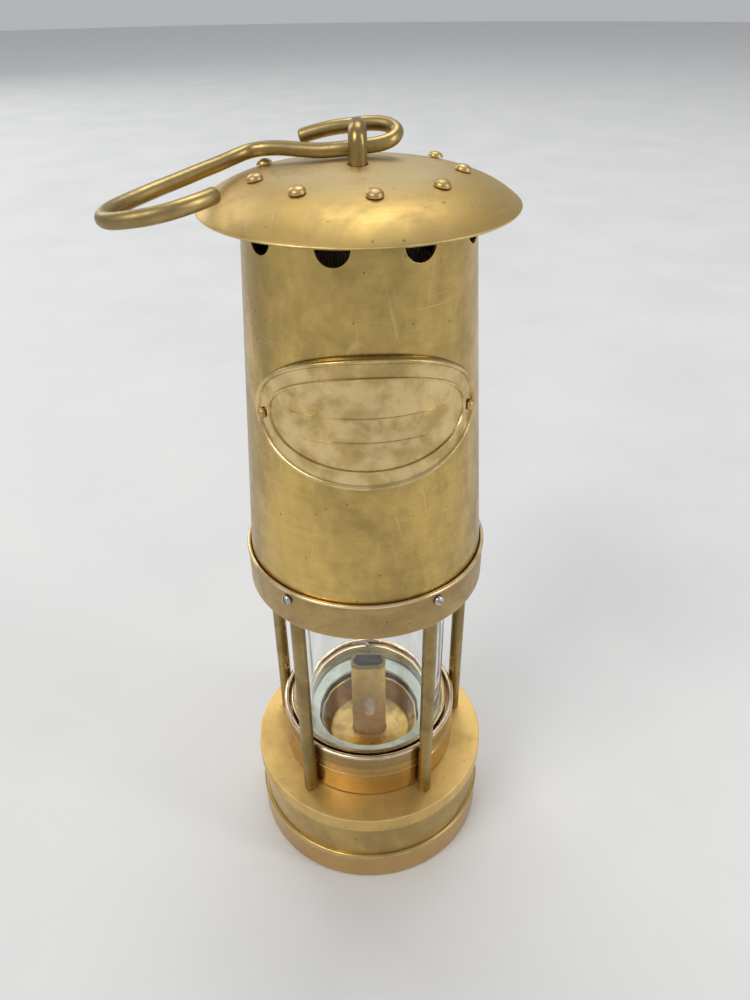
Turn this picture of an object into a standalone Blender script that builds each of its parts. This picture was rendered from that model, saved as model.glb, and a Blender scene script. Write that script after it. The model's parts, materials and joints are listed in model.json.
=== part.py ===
"""Miner's safety lamp, built as separate pieces in metres, +Z up.

The lamp stands on the flat underside of its oil vessel, with the origin at the centre of that face.
The front of the lamp, where the oval plate is, faces -Y. Bearings are degrees from the front, positive
towards +X. Everything above the seam lifts off the vessel as one frame.
"""
import math

import bmesh
import bpy
from mathutils import Matrix, Vector

# Fits
FIT = 0.0003                    # gap kept between pieces that touch
SCREW_FIT = 0.0003              # radial gap round a shank in its hole
TURN_STEPS = 40                 # facets round a large turned piece
SMALL_STEPS = 16                # facets round a small turned piece

# Glass, its rings and the pillars round it. The lamp is built outwards and inwards from its glass.
GLASS_RADIUS = 0.0285
GLASS_WALL = 0.0051
GASKET = 0.0014
TOP_GASKET = 0.0008
CLAMP_WALL = 0.0019
CLAMP_GROOVE = 0.001            # open thread groove between the seat lip and the clamp ring
CLAMP_DROP = 0.0005             # clamp ring below the seat lip
SEAT_LIP = 0.0018
SEAT_SKIRT = 0.0025
SEAT_HEIGHT = 0.021             # seat ring above the flange
SEAT_LEDGE_HEIGHT = 0.0132      # its ledge above the flange
SEAT_LEDGE = 0.0034
SEAT_LEDGE_WIDTH = 0.0061       # ledge under the glass and inside it
PILLAR_COUNT = 5
PILLAR_BEARING = -2.3           # bearing of the pattern's rear pillar from straight back
PILLAR_RADIUS = 0.00238
PILLAR_GAP = 0.00082            # between a pillar and the seat ring
PILLAR_LENGTH = 0.0854
SPIGOT_RADIUS = 0.0015
SPIGOT_LENGTH = 0.0026          # spigot in the flange
SPIGOT_SHORT = 0.0002           # upper spigot shorter than the band's plate
SEAT_RADIUS = GLASS_RADIUS + FIT + CLAMP_WALL + CLAMP_GROOVE + SEAT_LIP
SEAT_BORE = GLASS_RADIUS - SEAT_LEDGE_WIDTH
PILLAR_CIRCLE = SEAT_RADIUS + PILLAR_GAP + PILLAR_RADIUS

# Oil vessel
BASE_REACH = 0.0083             # bead, foot and flange outside the pillar circle
WALL_INSET = 0.0012             # wall above the bead, behind the bead
VESSEL_HEIGHT = 0.0295          # underside to the seam
VESSEL_WALL = 0.0016
VESSEL_PLATE = 0.0024           # floor and top plate
BEAD_HEIGHT = 0.0125            # underside to the middle of the bead
BEAD_RADIUS = 0.0011
FOOT_INSET = 0.0003             # foot band behind the bead
NECK_REACH = 0.0031             # threaded neck outside the bore of the seat ring
NECK_WALL = 0.0022
NECK_SHORT = 0.0012             # neck below the top of the flange
RECESS_WALL = 0.0018            # wall and roof of the cups in the underside
CUP_SINK = 0.0004               # start of a cup's wall inside the floor
CUP_TURN = 3.0                  # turn of the cups' facets off the vessel's own, in degrees
BASE_RADIUS = PILLAR_CIRCLE + BASE_REACH
VESSEL_WALL_RADIUS = BASE_RADIUS - WALL_INSET
NECK_RADIUS = SEAT_BORE + NECK_REACH

# Base flange
FLANGE_THICKNESS = 0.0062
FLANGE_CHAMFER = 0.0004
FLANGE_TOP = VESSEL_HEIGHT + FIT + FLANGE_THICKNESS
SEAT_TOP = FLANGE_TOP + SEAT_HEIGHT
SEAT_LEDGE_TOP = FLANGE_TOP + SEAT_LEDGE_HEIGHT

# Burner and wick
DISH_GAP = 0.0028               # round the dish, inside the bore of the seat ring
DISH_FLARE = 0.0024             # floor smaller than the rim
DISH_WALL = 0.001
DISH_EDGE = 0.0003              # rounding of the rim
DISH_RISE = 0.009               # inside floor above the seam
DISH_DEPTH = 0.0095
SHOULDER_INSET = 0.0011         # shoulder of the burner behind the rim of its dish
PLUG_INSET = 0.0025             # threaded plug behind the shoulder
HUB_INSET = 0.001               # hub behind the plug
BURNER_PLUG_LENGTH = 0.003
BURNER_SHOULDER_HEIGHT = 0.0017
WICK_TUBE_WIDTH = 0.0134
WICK_TUBE_DEPTH = 0.007
WICK_TUBE_WALL = 0.0012
WICK_TUBE_ABOVE = 0.0275        # above the rim of the dish
WICK_TUBE_BELOW = 0.004         # length hanging below the burner plug
WICK_SLOT_WIDTH = 0.0044
WICK_SLOT_LENGTH = 0.0097
WICK_SLOT_ABOVE = 0.0007        # lower end of the slot above the rim of the dish
WICK_SHOWING = 0.0014           # wick above its tube
WICK_TAIL_GAP = 0.0017          # lower end of the wick above the cups
DISH_RIM_RADIUS = SEAT_BORE - DISH_GAP
DISH_FLOOR_RADIUS = DISH_RIM_RADIUS - DISH_FLARE
DISH_FLOOR_HEIGHT = VESSEL_HEIGHT + DISH_RISE
DISH_RIM_HEIGHT = DISH_FLOOR_HEIGHT + DISH_DEPTH
BURNER_SHOULDER = DISH_RIM_RADIUS - SHOULDER_INSET
BURNER_PLUG_RADIUS = BURNER_SHOULDER - PLUG_INSET
BURNER_HUB_RADIUS = BURNER_PLUG_RADIUS - HUB_INSET
WICK_TUBE_TOP = DISH_RIM_HEIGHT + WICK_TUBE_ABOVE
WICK_SLOT_BOTTOM = DISH_RIM_HEIGHT + WICK_SLOT_ABOVE
WICK_SLOT_TOP = WICK_SLOT_BOTTOM + WICK_SLOT_LENGTH

# Pricker: a wire worked by a knob in the underside
KNOB_LIFT = 0.0012              # knob, plug and screw heads above the underside
PRICKER_INSET = 0.0042          # axis behind the edge of the dish's floor
PRICKER_WIRE_RADIUS = 0.0008
PRICKER_WIRE_FIT = 0.0004
PRICKER_DROP = 0.004            # top of the wire below the top of the wick tube
PRICKER_ARM = 0.0065            # sideways reach of the bent tip
PRICKER_TUBE_WALL = 0.0006
PRICKER_TUBE_ABOVE = 0.0012     # tube standing above the dish floor
PRICKER_KNOB_RADIUS = 0.0052
PRICKER_KNOB_HEIGHT = 0.0045
PRICKER_TRAVEL = 0.005
PRICKER_STOP = 0.0013           # left above the knob at the end of its travel
PRICKER_KNOB_ROOM = 0.0012      # round the knob
PRICKER_Y = DISH_FLOOR_RADIUS - PRICKER_INSET
PRICKER_TOP = WICK_TUBE_TOP - PRICKER_DROP
PRICKER_TUBE_BORE = PRICKER_WIRE_RADIUS + PRICKER_WIRE_FIT
PRICKER_TUBE_RADIUS = PRICKER_TUBE_BORE + PRICKER_TUBE_WALL
PRICKER_RECESS_RADIUS = PRICKER_KNOB_RADIUS + PRICKER_KNOB_ROOM
PRICKER_RECESS_DEPTH = KNOB_LIFT + PRICKER_KNOB_HEIGHT + PRICKER_TRAVEL + PRICKER_STOP
WICK_TAIL_HEIGHT = PRICKER_RECESS_DEPTH + RECESS_WALL + WICK_TAIL_GAP

# Filler plug and lock screw, also worked from the underside
FILLER_X = 0.0245
FILLER_Y = -0.0060
FILLER_HEAD_RADIUS = 0.0085
FILLER_HEAD_HEIGHT = 0.0034
FILLER_STEM_RADIUS = 0.0052
FILLER_STEM_LENGTH = 0.0058
FILLER_SLOT_WIDTH = 0.0018
FILLER_SLOT_DEPTH = 0.0016
FILLER_WASHER = 0.0012
FILLER_ROOM = 0.0015            # round the head
LOCK_INSET = 0.0068             # axis behind the vessel's wall
LOCK_SHANK_RADIUS = 0.0021
LOCK_HEAD_RADIUS = 0.0034
LOCK_HEAD_HEIGHT = 0.0032
LOCK_ROOM = 0.0008              # round the head
LOCK_HEAD_ABOVE = 0.0033        # lower face of the head above the underside
LOCK_SOCKET = 0.0026            # across the square key socket
LOCK_ENTRY = 0.0036             # length of the screw inside the flange
FILLER_RECESS_RADIUS = FILLER_HEAD_RADIUS + FILLER_ROOM
LOCK_BEARING = 180.0 + PILLAR_BEARING - 180.0 / PILLAR_COUNT    # midway between two pillars
LOCK_CIRCLE = VESSEL_WALL_RADIUS - LOCK_INSET
LOCK_RECESS_RADIUS = LOCK_HEAD_RADIUS + LOCK_ROOM
LOCK_RECESS_DEPTH = LOCK_HEAD_ABOVE + LOCK_HEAD_HEIGHT + FIT

# Oil packing
COTTON_ROOM = 0.0018            # between the packing and the post of the lock screw
COTTON_BORE_REACH = 0.0025      # bore of the packing outside the burner plug
COTTON_HEIGHT = 0.0095
COTTON_INNER = BURNER_PLUG_RADIUS + COTTON_BORE_REACH
COTTON_OUTER = LOCK_CIRCLE - LOCK_RECESS_RADIUS - COTTON_ROOM

# Middle band, gauze ring and gauzes
BAND_REACH = 0.0033             # outside of the band beyond the pillar circle
BAND_HEIGHT = 0.0137
BAND_WALL = 0.00095
BAND_PLATE = 0.0028
BAND_LANDING = 0.0055           # band's plate over the glass, from the glass's outside
SCREW_DROP = 0.0038             # axis of the band screws below the top of the band
SCREW_HEAD_RADIUS = 0.0018
SCREW_HEAD_HEIGHT = 0.0012
SCREW_SHANK_RADIUS = 0.0010
SCREW_SLOT = 0.0005
GAUZE_RING_UPSTAND = 0.0018
GAUZE_RING_ABOVE = 0.0022       # top of the ring above the screws' axis
GAUZE_RING_PLATE = 0.0020
GAUZE_SHEET = 0.0006
GAUZE_LANDING = 0.004           # gauze feet beyond the bore of the band's plate
INNER_GAUZE_INSET = 0.0025      # inner gauze behind the bore of the band's plate
GAUZE_SPACE = 0.0041            # between the two gauzes' outsides
INNER_GAUZE_HEIGHT = 0.0972     # above the band's plate
GAUZE_TOP_SPACE = 0.0072        # outer gauze's top above the inner gauze's
GAUZE_TAPER = 0.030             # radius lost per unit of height
BAND_RADIUS = PILLAR_CIRCLE + BAND_REACH
BAND_BORE = GLASS_RADIUS - BAND_LANDING
BAND_BOTTOM = FLANGE_TOP + PILLAR_LENGTH + 2 * FIT
BAND_TOP = BAND_BOTTOM + BAND_HEIGHT
SCREW_HEIGHT = BAND_TOP - SCREW_DROP
GAUZE_FOOT_RADIUS = BAND_BORE + GAUZE_LANDING
INNER_GAUZE_RADIUS = BAND_BORE - INNER_GAUZE_INSET
OUTER_GAUZE_RADIUS = INNER_GAUZE_RADIUS + GAUZE_SPACE
INNER_GAUZE_TOP = BAND_BOTTOM + BAND_PLATE + INNER_GAUZE_HEIGHT
OUTER_GAUZE_TOP = INNER_GAUZE_TOP + GAUZE_TOP_SPACE

# Hood, bonnet and vents
HOOD_ABOVE_GAUZE = 0.0259       # crown above the outer gauze
HOOD_OVERHANG = 0.0123          # rim outside the top of the bonnet
HOOD_CONE = 0.12                # slope of the flat top
HOOD_SHOULDER_DROP = 0.006      # extra fall of the rounded shoulder at the rim
HOOD_SHOULDER_POWER = 5.5
HOOD_SHEET = 0.0009
BONNET_TAPER = 0.0633           # radius lost per unit of height
BONNET_SHEET = 0.0009
BONNET_FLANGE_WIDTH = 0.0092    # flange turned in under the hood
VENT_COUNT = 9
VENT_RADIUS = 0.0045
VENT_DROP = 0.0147              # axis of the vents below the crown
VENT_BEARING = -12.0
HOOD_CROWN = OUTER_GAUZE_TOP + HOOD_ABOVE_GAUZE
BONNET_RADIUS = BAND_RADIUS - BAND_WALL - FIT                   # outside, at the top of the band
BONNET_TOP_RADIUS = BONNET_RADIUS - BONNET_TAPER * (HOOD_CROWN - BAND_TOP)
BONNET_FLANGE_BORE = BONNET_TOP_RADIUS - BONNET_FLANGE_WIDTH
HOOD_RADIUS = BONNET_TOP_RADIUS + HOOD_OVERHANG
VENT_HEIGHT = HOOD_CROWN - VENT_DROP

# Oval plate and its rivets
PLATE_BEARING = 2.6
PLATE_ABOVE_BAND = 0.0593       # middle of the plate above the band
PLATE_ARC = 0.070               # width measured round the bonnet
PLATE_TALL = 0.0385
PLATE_SHEET = 0.0012
PLATE_RIVET_INSET = 0.003       # rivets from the plate's ends, round the bonnet
PLATE_RIVET_DROP = 0.0015       # rivets below the middle of the plate
PLATE_RIVET_RADIUS = 0.0016
PLATE_RIVET_HEIGHT = 0.0012
PLATE_RIVET_SHANK = 0.0009
PLATE_HEIGHT = BAND_TOP + PLATE_ABOVE_BAND
PLATE_RIVET_ARC = PLATE_ARC - 2 * PLATE_RIVET_INSET

# Hood rivets
HOOD_RIVET_COUNT = 9
HOOD_RIVET_LANDING = 0.0054     # rivets outside the bore of the bonnet's flange
HOOD_RIVET_BEARING = 8.0
RIVET_HEAD_RADIUS = 0.0022
RIVET_HEAD_HEIGHT = 0.0015
RIVET_SHANK_RADIUS = 0.0012
RIVET_TAIL = 0.0008             # shank past the inner sheet
HOOD_RIVET_CIRCLE = BONNET_FLANGE_BORE + HOOD_RIVET_LANDING

# Staple, its nuts and the hook
HOOK_ROD_RADIUS = 0.0019
STAPLE_ROD_RADIUS = 0.0024
STAPLE_ROOM = 0.0026            # free width between the hook and the staple's legs
STAPLE_PLAY = 0.0006            # free height between the hook and the crossbar
STAPLE_BEND = 0.0034
NUT_FLATS = 0.0082
NUT_HEIGHT = 0.0030
NUT_TAIL = 0.0008               # staple leg below its nut
STAPLE_SPAN = 2 * (STAPLE_ROD_RADIUS + HOOK_ROD_RADIUS) + STAPLE_ROOM     # between the middles of the legs
# Middle line of the hook about the staple's rear leg: the angle from +X in degrees, the gap left between the
# two rods, and the height above a rod resting on the crown. It starts at the small end beyond the rear leg,
# passes under the crossbar and ends in the open bend.
HOOK_ROUTE = [
    (161.57, 0.01214, 0.0010), (156.13, 0.00806, 0.0022), (143.56, 0.00378, 0.0032),
    (102.01, 0.00051, 0.0038), (48.99, 0.00180, 0.0042), (22.52, 0.00458, 0.0039),
    (2.78, 0.00601, 0.0027), (-16.46, 0.00488, 0.0013), (-40.03, 0.00223, 0.0004),
    (-90.00, 0.00070, 0.0000), (-135.58, 0.00270, -0.0005), (-161.22, 0.00626, -0.0010),
    (-177.05, 0.01122, -0.0011), (174.02, 0.01681, -0.0012), (171.09, 0.02151, -0.0016),
    (172.30, 0.02557, -0.0023), (178.63, 0.02911, -0.0032), (-173.22, 0.03296, -0.0039),
    (-166.09, 0.03814, -0.0046), (-160.81, 0.04377, -0.0054), (-156.52, 0.04967, -0.0061),
    (-153.52, 0.05536, -0.0069), (-150.88, 0.06003, -0.0074), (-147.61, 0.06403, -0.0076),
    (-143.50, 0.06698, -0.0076), (-139.29, 0.06760, -0.0071), (-135.40, 0.06592, -0.0063),
    (-132.04, 0.06289, -0.0055), (-129.57, 0.05927, -0.0047), (-128.15, 0.05495, -0.0040),
    (-127.56, 0.05082, -0.0035), (-127.75, 0.04781, -0.0032),
]

# Finishes: colour, roughness, metallic, transmission
BRASS = ((0.55, 0.42, 0.20), 0.38, 1.0, 0.0)
DARK_BRASS = ((0.36, 0.27, 0.13), 0.48, 1.0, 0.0)
COPPERY_BRASS = ((0.62, 0.38, 0.20), 0.32, 1.0, 0.0)
STEEL = ((0.52, 0.51, 0.49), 0.35, 1.0, 0.0)
GAUZE_STEEL = ((0.12, 0.11, 0.10), 0.60, 1.0, 0.0)
GLASS = ((0.90, 0.97, 0.96), 0.03, 0.0, 0.9)
PACKING = ((0.70, 0.78, 0.74), 0.70, 0.0, 0.0)
COTTON = ((0.80, 0.76, 0.66), 0.95, 0.0, 0.0)
LEATHER = ((0.18, 0.10, 0.05), 0.75, 0.0, 0.0)

PARTS = None
CUTTERS = None


# ---------------------------------------------------------------- scene

def clear_scene():
    """Remove every object and make the two collections."""
    global PARTS, CUTTERS
    for old in list(bpy.data.objects):
        bpy.data.objects.remove(old, do_unlink=True)
    PARTS = bpy.data.collections.new("safety_lamp")
    CUTTERS = bpy.data.collections.new("safety_lamp_cutters")
    for collection in (PARTS, CUTTERS):
        bpy.context.scene.collection.children.link(collection)


def add_empty(name, location):
    """An empty on a joint's axis, which its moving pieces are parented to."""
    empty = bpy.data.objects.new(name, None)
    empty.empty_display_size = 0.01
    empty.location = location
    empty.hide_render = True
    PARTS.objects.link(empty)
    return empty


def set_finish(obj, finish):
    """Give a piece its own material."""
    colour, roughness, metallic, transmission = finish
    material = bpy.data.materials.new(obj.name + "_finish")
    material.use_nodes = True
    shader = material.node_tree.nodes["Principled BSDF"]
    shader.inputs["Base Color"].default_value = (*colour, 1.0)
    shader.inputs["Roughness"].default_value = roughness
    shader.inputs["Metallic"].default_value = metallic
    shader.inputs["Transmission Weight"].default_value = transmission
    material.diffuse_color = (*colour, 1.0)
    obj.data.materials.clear()
    obj.data.materials.append(material)


def add_part(name, data, finish, parent=None, matrix=None):
    """Link a piece under its parent; its matrix is in the parent's frame."""
    obj = bpy.data.objects.new(name, data)
    PARTS.objects.link(obj)
    if parent is not None:
        obj.parent = parent
    obj.matrix_local = matrix if matrix is not None else Matrix.Identity(4)
    set_finish(obj, finish)
    return obj


def add_cutter(name, data):
    """A shape that only cuts."""
    obj = bpy.data.objects.new(name, data)
    obj.hide_render = True
    obj.display_type = "WIRE"
    CUTTERS.objects.link(obj)
    return obj


def boolean(obj, tool, operation="DIFFERENCE"):
    """Cut or join with the exact solver."""
    modifier = obj.modifiers.new(operation.lower() + "_" + tool.name, "BOOLEAN")
    modifier.operation = operation
    modifier.solver = "EXACT"
    modifier.object = tool


# ---------------------------------------------------------------- shapes

def smooth(mesh):
    """Smooth shading that keeps the crisp corners."""
    mesh.shade_smooth()
    mesh.set_sharp_from_angle(angle=math.radians(35))


def evaluated_mesh(data, steps_modifier=None):
    """The finished mesh of a temporary object, welded, with the object removed."""
    temp = bpy.data.objects.new("temporary", data)
    bpy.context.scene.collection.objects.link(temp)
    if steps_modifier is not None:
        steps_modifier(temp)
    bpy.context.view_layer.update()
    graph = bpy.context.evaluated_depsgraph_get()
    mesh = bpy.data.meshes.new_from_object(temp.evaluated_get(graph))
    bpy.data.objects.remove(temp, do_unlink=True)
    shape = bmesh.new()
    shape.from_mesh(mesh)
    bmesh.ops.remove_doubles(shape, verts=shape.verts, dist=1e-6)
    shape.to_mesh(mesh)
    shape.free()
    smooth(mesh)
    return mesh


def turned_mesh(profile, closed, steps=TURN_STEPS):
    """A profile of (radius, height) points turned about Z.

    An open profile starts and ends on the axis; a closed one is the section of a ring. Either runs down
    its outer side.
    """
    points = [(radius, 0.0, height) for radius, height in profile]
    edges = [(i, i + 1) for i in range(len(points) - 1)]
    if closed:
        edges.append((len(points) - 1, 0))
    outline = bpy.data.meshes.new("profile")
    outline.from_pydata(points, edges, [])

    def add_screw(temp):
        screw = temp.modifiers.new("turn", "SCREW")
        screw.axis = "Z"
        screw.angle = math.tau
        screw.steps = steps
        screw.render_steps = steps
        screw.use_merge_vertices = True
        screw.merge_threshold = 1e-6

    return evaluated_mesh(outline, add_screw)


def rod_mesh(points, radius, resolution=3):
    """A round rod with flat ends along a smooth line of points."""
    curve = bpy.data.curves.new("rod", "CURVE")
    curve.dimensions = "3D"
    curve.bevel_depth = radius
    curve.bevel_resolution = resolution
    curve.use_fill_caps = True
    spline = curve.splines.new("POLY")
    spline.points.add(len(points) - 1)
    for target, point in zip(spline.points, points):
        target.co = (*point, 1.0)
    return evaluated_mesh(curve)


def outline_mesh(outlines, thickness):
    """Flat closed outlines, the inner ones as holes, extruded evenly about Z = 0."""
    curve = bpy.data.curves.new("outline", "CURVE")
    curve.dimensions = "2D"
    curve.fill_mode = "BOTH"
    curve.extrude = thickness / 2
    for outline in outlines:
        spline = curve.splines.new("POLY")
        spline.points.add(len(outline) - 1)
        for target, (x, y) in zip(spline.points, outline):
            target.co = (x, y, 0.0, 1.0)
        spline.use_cyclic_u = True
    return evaluated_mesh(curve)


def cylinder_bodies(places, radius, length, steps=SMALL_STEPS):
    """One mesh with a cylinder centred at each matrix, its axis along that matrix's Z."""
    shape = bmesh.new()
    for place in places:
        bmesh.ops.create_cone(shape, cap_ends=True, segments=steps, radius1=radius, radius2=radius,
                              depth=length, matrix=place)
    mesh = bpy.data.meshes.new("cylinders")
    shape.to_mesh(mesh)
    shape.free()
    return mesh


def box_mesh(size, place):
    """A box of the given size at a matrix."""
    shape = bmesh.new()
    bmesh.ops.create_cube(shape, size=1.0, matrix=place @ Matrix.Diagonal((*size, 1.0)))
    mesh = bpy.data.meshes.new("box")
    shape.to_mesh(mesh)
    shape.free()
    return mesh


def arc(centre_x, centre_y, radius, start, end, count):
    """Points on an arc between two angles in degrees."""
    angles = [math.radians(start + (end - start) * i / (count - 1)) for i in range(count)]
    return [(centre_x + radius * math.cos(a), centre_y + radius * math.sin(a)) for a in angles]


def obround(width, depth, count=7):
    """A flat-sided outline with two round ends."""
    radius = depth / 2
    reach = width / 2 - radius
    return arc(reach, 0.0, radius, -90, 90, count) + arc(-reach, 0.0, radius, 90, 270, count)


def smooth_route(points, pieces=3):
    """Points along a Catmull-Rom curve through the given points."""
    knots = [Vector(p) for p in points]
    padded = [2 * knots[0] - knots[1]] + knots + [2 * knots[-1] - knots[-2]]
    route = []
    for a, b, c, d in zip(padded, padded[1:], padded[2:], padded[3:]):
        for step in range(pieces):
            t = step / pieces
            route.append(0.5 * (2 * b + (c - a) * t + (2 * a - 5 * b + 4 * c - d) * t ** 2
                                + (3 * b - a - 3 * c + d) * t ** 3))
    route.append(knots[-1])
    return route


def bearing_point(bearing, radius, height):
    """A point at a bearing from the front."""
    angle = math.radians(bearing)
    return Vector((radius * math.sin(angle), -radius * math.cos(angle), height))


def outward_frame(bearing, radius, height, lift=0.0):
    """A matrix at a bearing whose Z points outwards, tipped up by lift degrees."""
    spin = Matrix.Rotation(math.radians(bearing), 4, "Z")
    tip = Matrix.Rotation(math.radians(90 - lift), 4, "X")
    return Matrix.Translation(bearing_point(bearing, radius, height)) @ spin @ tip


def bearings(count, first):
    """Evenly spaced bearings."""
    return [first + 360.0 * i / count for i in range(count)]


# ---------------------------------------------------------------- derived sizes

def bonnet_radius(height):
    """Outer radius of the bonnet at a height."""
    return BONNET_RADIUS - BONNET_TAPER * max(height - BAND_TOP, 0.0)


def hood_height(radius):
    """Height of the hood's outer surface at a radius."""
    return HOOD_CROWN - HOOD_CONE * radius - HOOD_SHOULDER_DROP * (radius / HOOD_RADIUS) ** HOOD_SHOULDER_POWER


def hood_slope(radius):
    """Downward slope of the hood's outer surface at a radius, in degrees."""
    step = 1e-5
    return math.degrees(math.atan2(hood_height(radius - step) - hood_height(radius + step), 2 * step))


def pillar_bearings():
    """Bearings of the pillars and of the band screws above them."""
    return bearings(PILLAR_COUNT, 180.0 + PILLAR_BEARING)


def wick_tube_bottom():
    """Lower end of the wick tube."""
    return burner_plug_bottom() - WICK_TUBE_BELOW


def burner_plug_bottom():
    """Lower face of the burner's plug."""
    return VESSEL_HEIGHT + FIT - BURNER_PLUG_LENGTH


def lock_point(height):
    """A point on the lock screw's axis."""
    return bearing_point(LOCK_BEARING, LOCK_CIRCLE, height)


def filler_recess_depth():
    """Depth of the filler cup, which holds the plug's head and its washer."""
    return KNOB_LIFT + FILLER_HEAD_HEIGHT + FILLER_WASHER + 2 * FIT


def glass_bottom():
    """Lower end of the glass, on its gasket."""
    return SEAT_LEDGE_TOP + GASKET + 2 * FIT


def glass_top():
    """Upper end of the glass, under the top gasket."""
    return BAND_BOTTOM - TOP_GASKET - 2 * FIT


# ---------------------------------------------------------------- oil vessel

def cup_cutters(name, point, radius, depth, bore):
    """The outside of a cup sunk in the underside, its hollow, and the hole through its roof."""
    turn = Matrix.Rotation(math.radians(CUP_TURN), 4, "Z")
    outside_top = depth + RECESS_WALL
    middle = Matrix.Translation((point[0], point[1], (outside_top + CUP_SINK) / 2)) @ turn
    outside = add_cutter(name + "_outside",
                         cylinder_bodies([middle], radius + RECESS_WALL, outside_top - CUP_SINK, 24))
    hollow_place = Matrix.Translation((point[0], point[1], depth / 2 - 0.001)) @ turn
    hollow = add_cutter(name + "_hollow", cylinder_bodies([hollow_place], radius, depth + 0.002, 24))
    bore_place = Matrix.Translation((point[0], point[1], depth + RECESS_WALL / 2)) @ turn
    bore_cutter = add_cutter(name + "_bore", cylinder_bodies([bore_place], bore, RECESS_WALL + 0.002))
    return outside, hollow, bore_cutter


def build_vessel():
    """The turned oil vessel, with the three cups in its underside."""
    inner = VESSEL_WALL_RADIUS - VESSEL_WALL
    foot = BASE_RADIUS - FOOT_INSET
    plate_under = VESSEL_HEIGHT - VESSEL_PLATE
    burner_hole = BURNER_PLUG_RADIUS + FIT
    neck_inner = NECK_RADIUS - NECK_WALL
    neck_top = FLANGE_TOP - NECK_SHORT - FIT
    bead = arc(BASE_RADIUS - BEAD_RADIUS, BEAD_HEIGHT, BEAD_RADIUS, 80, -70, 6)
    profile = [
        (0.0, VESSEL_PLATE), (inner, VESSEL_PLATE), (inner, plate_under), (burner_hole, plate_under),
        (burner_hole, VESSEL_HEIGHT), (neck_inner, VESSEL_HEIGHT), (neck_inner, neck_top),
        (NECK_RADIUS, neck_top), (NECK_RADIUS, VESSEL_HEIGHT),
        (VESSEL_WALL_RADIUS - FLANGE_CHAMFER, VESSEL_HEIGHT),
        (VESSEL_WALL_RADIUS, VESSEL_HEIGHT - FLANGE_CHAMFER),
        (VESSEL_WALL_RADIUS, BEAD_HEIGHT + BEAD_RADIUS),
    ] + bead + [(foot, BEAD_HEIGHT - BEAD_RADIUS), (foot, 2 * FLANGE_CHAMFER),
                (foot - 2 * FLANGE_CHAMFER, 0.0), (0.0, 0.0)]
    vessel = add_part("oil_vessel", turned_mesh(profile, closed=False), DARK_BRASS)

    pricker_cup = cup_cutters("pricker_cup", (0.0, PRICKER_Y), PRICKER_RECESS_RADIUS,
                              PRICKER_RECESS_DEPTH, PRICKER_TUBE_RADIUS + FIT)
    filler_cup = cup_cutters("filler_cup", (FILLER_X, FILLER_Y), FILLER_RECESS_RADIUS,
                             filler_recess_depth(), FILLER_STEM_RADIUS + FIT)
    for cup in (pricker_cup, filler_cup):
        boolean(vessel, cup[0], "UNION")
    post_top = VESSEL_HEIGHT - FLANGE_CHAMFER
    post_place = Matrix.Translation(lock_point((post_top + CUP_SINK) / 2))
    post = add_cutter("lock_post", cylinder_bodies([post_place], LOCK_RECESS_RADIUS + RECESS_WALL / 3,
                                                   post_top - CUP_SINK, 24))
    boolean(vessel, post, "UNION")
    for cup in (pricker_cup, filler_cup):
        boolean(vessel, cup[1])
        boolean(vessel, cup[2])
    lock_hollow = Matrix.Translation(lock_point(LOCK_RECESS_DEPTH / 2 - 0.001))
    boolean(vessel, add_cutter("lock_hollow", cylinder_bodies([lock_hollow], LOCK_RECESS_RADIUS,
                                                              LOCK_RECESS_DEPTH + 0.002, 24)))
    lock_bore = Matrix.Translation(lock_point(VESSEL_HEIGHT / 2 + 0.002))
    boolean(vessel, add_cutter("lock_bore", cylinder_bodies([lock_bore], LOCK_SHANK_RADIUS + SCREW_FIT,
                                                            VESSEL_HEIGHT)))
    return vessel


def build_cotton():
    """The ring of packing that holds the oil."""
    bottom = PRICKER_RECESS_DEPTH + RECESS_WALL + 2 * FIT
    top = bottom + COTTON_HEIGHT
    edge = 0.0008
    profile = [(COTTON_INNER, top), (COTTON_OUTER - edge, top), (COTTON_OUTER, top - edge),
               (COTTON_OUTER, bottom + edge), (COTTON_OUTER - edge, bottom), (COTTON_INNER, bottom)]
    add_part("cotton_packing", turned_mesh(profile, closed=True, steps=32), COTTON)


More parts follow.
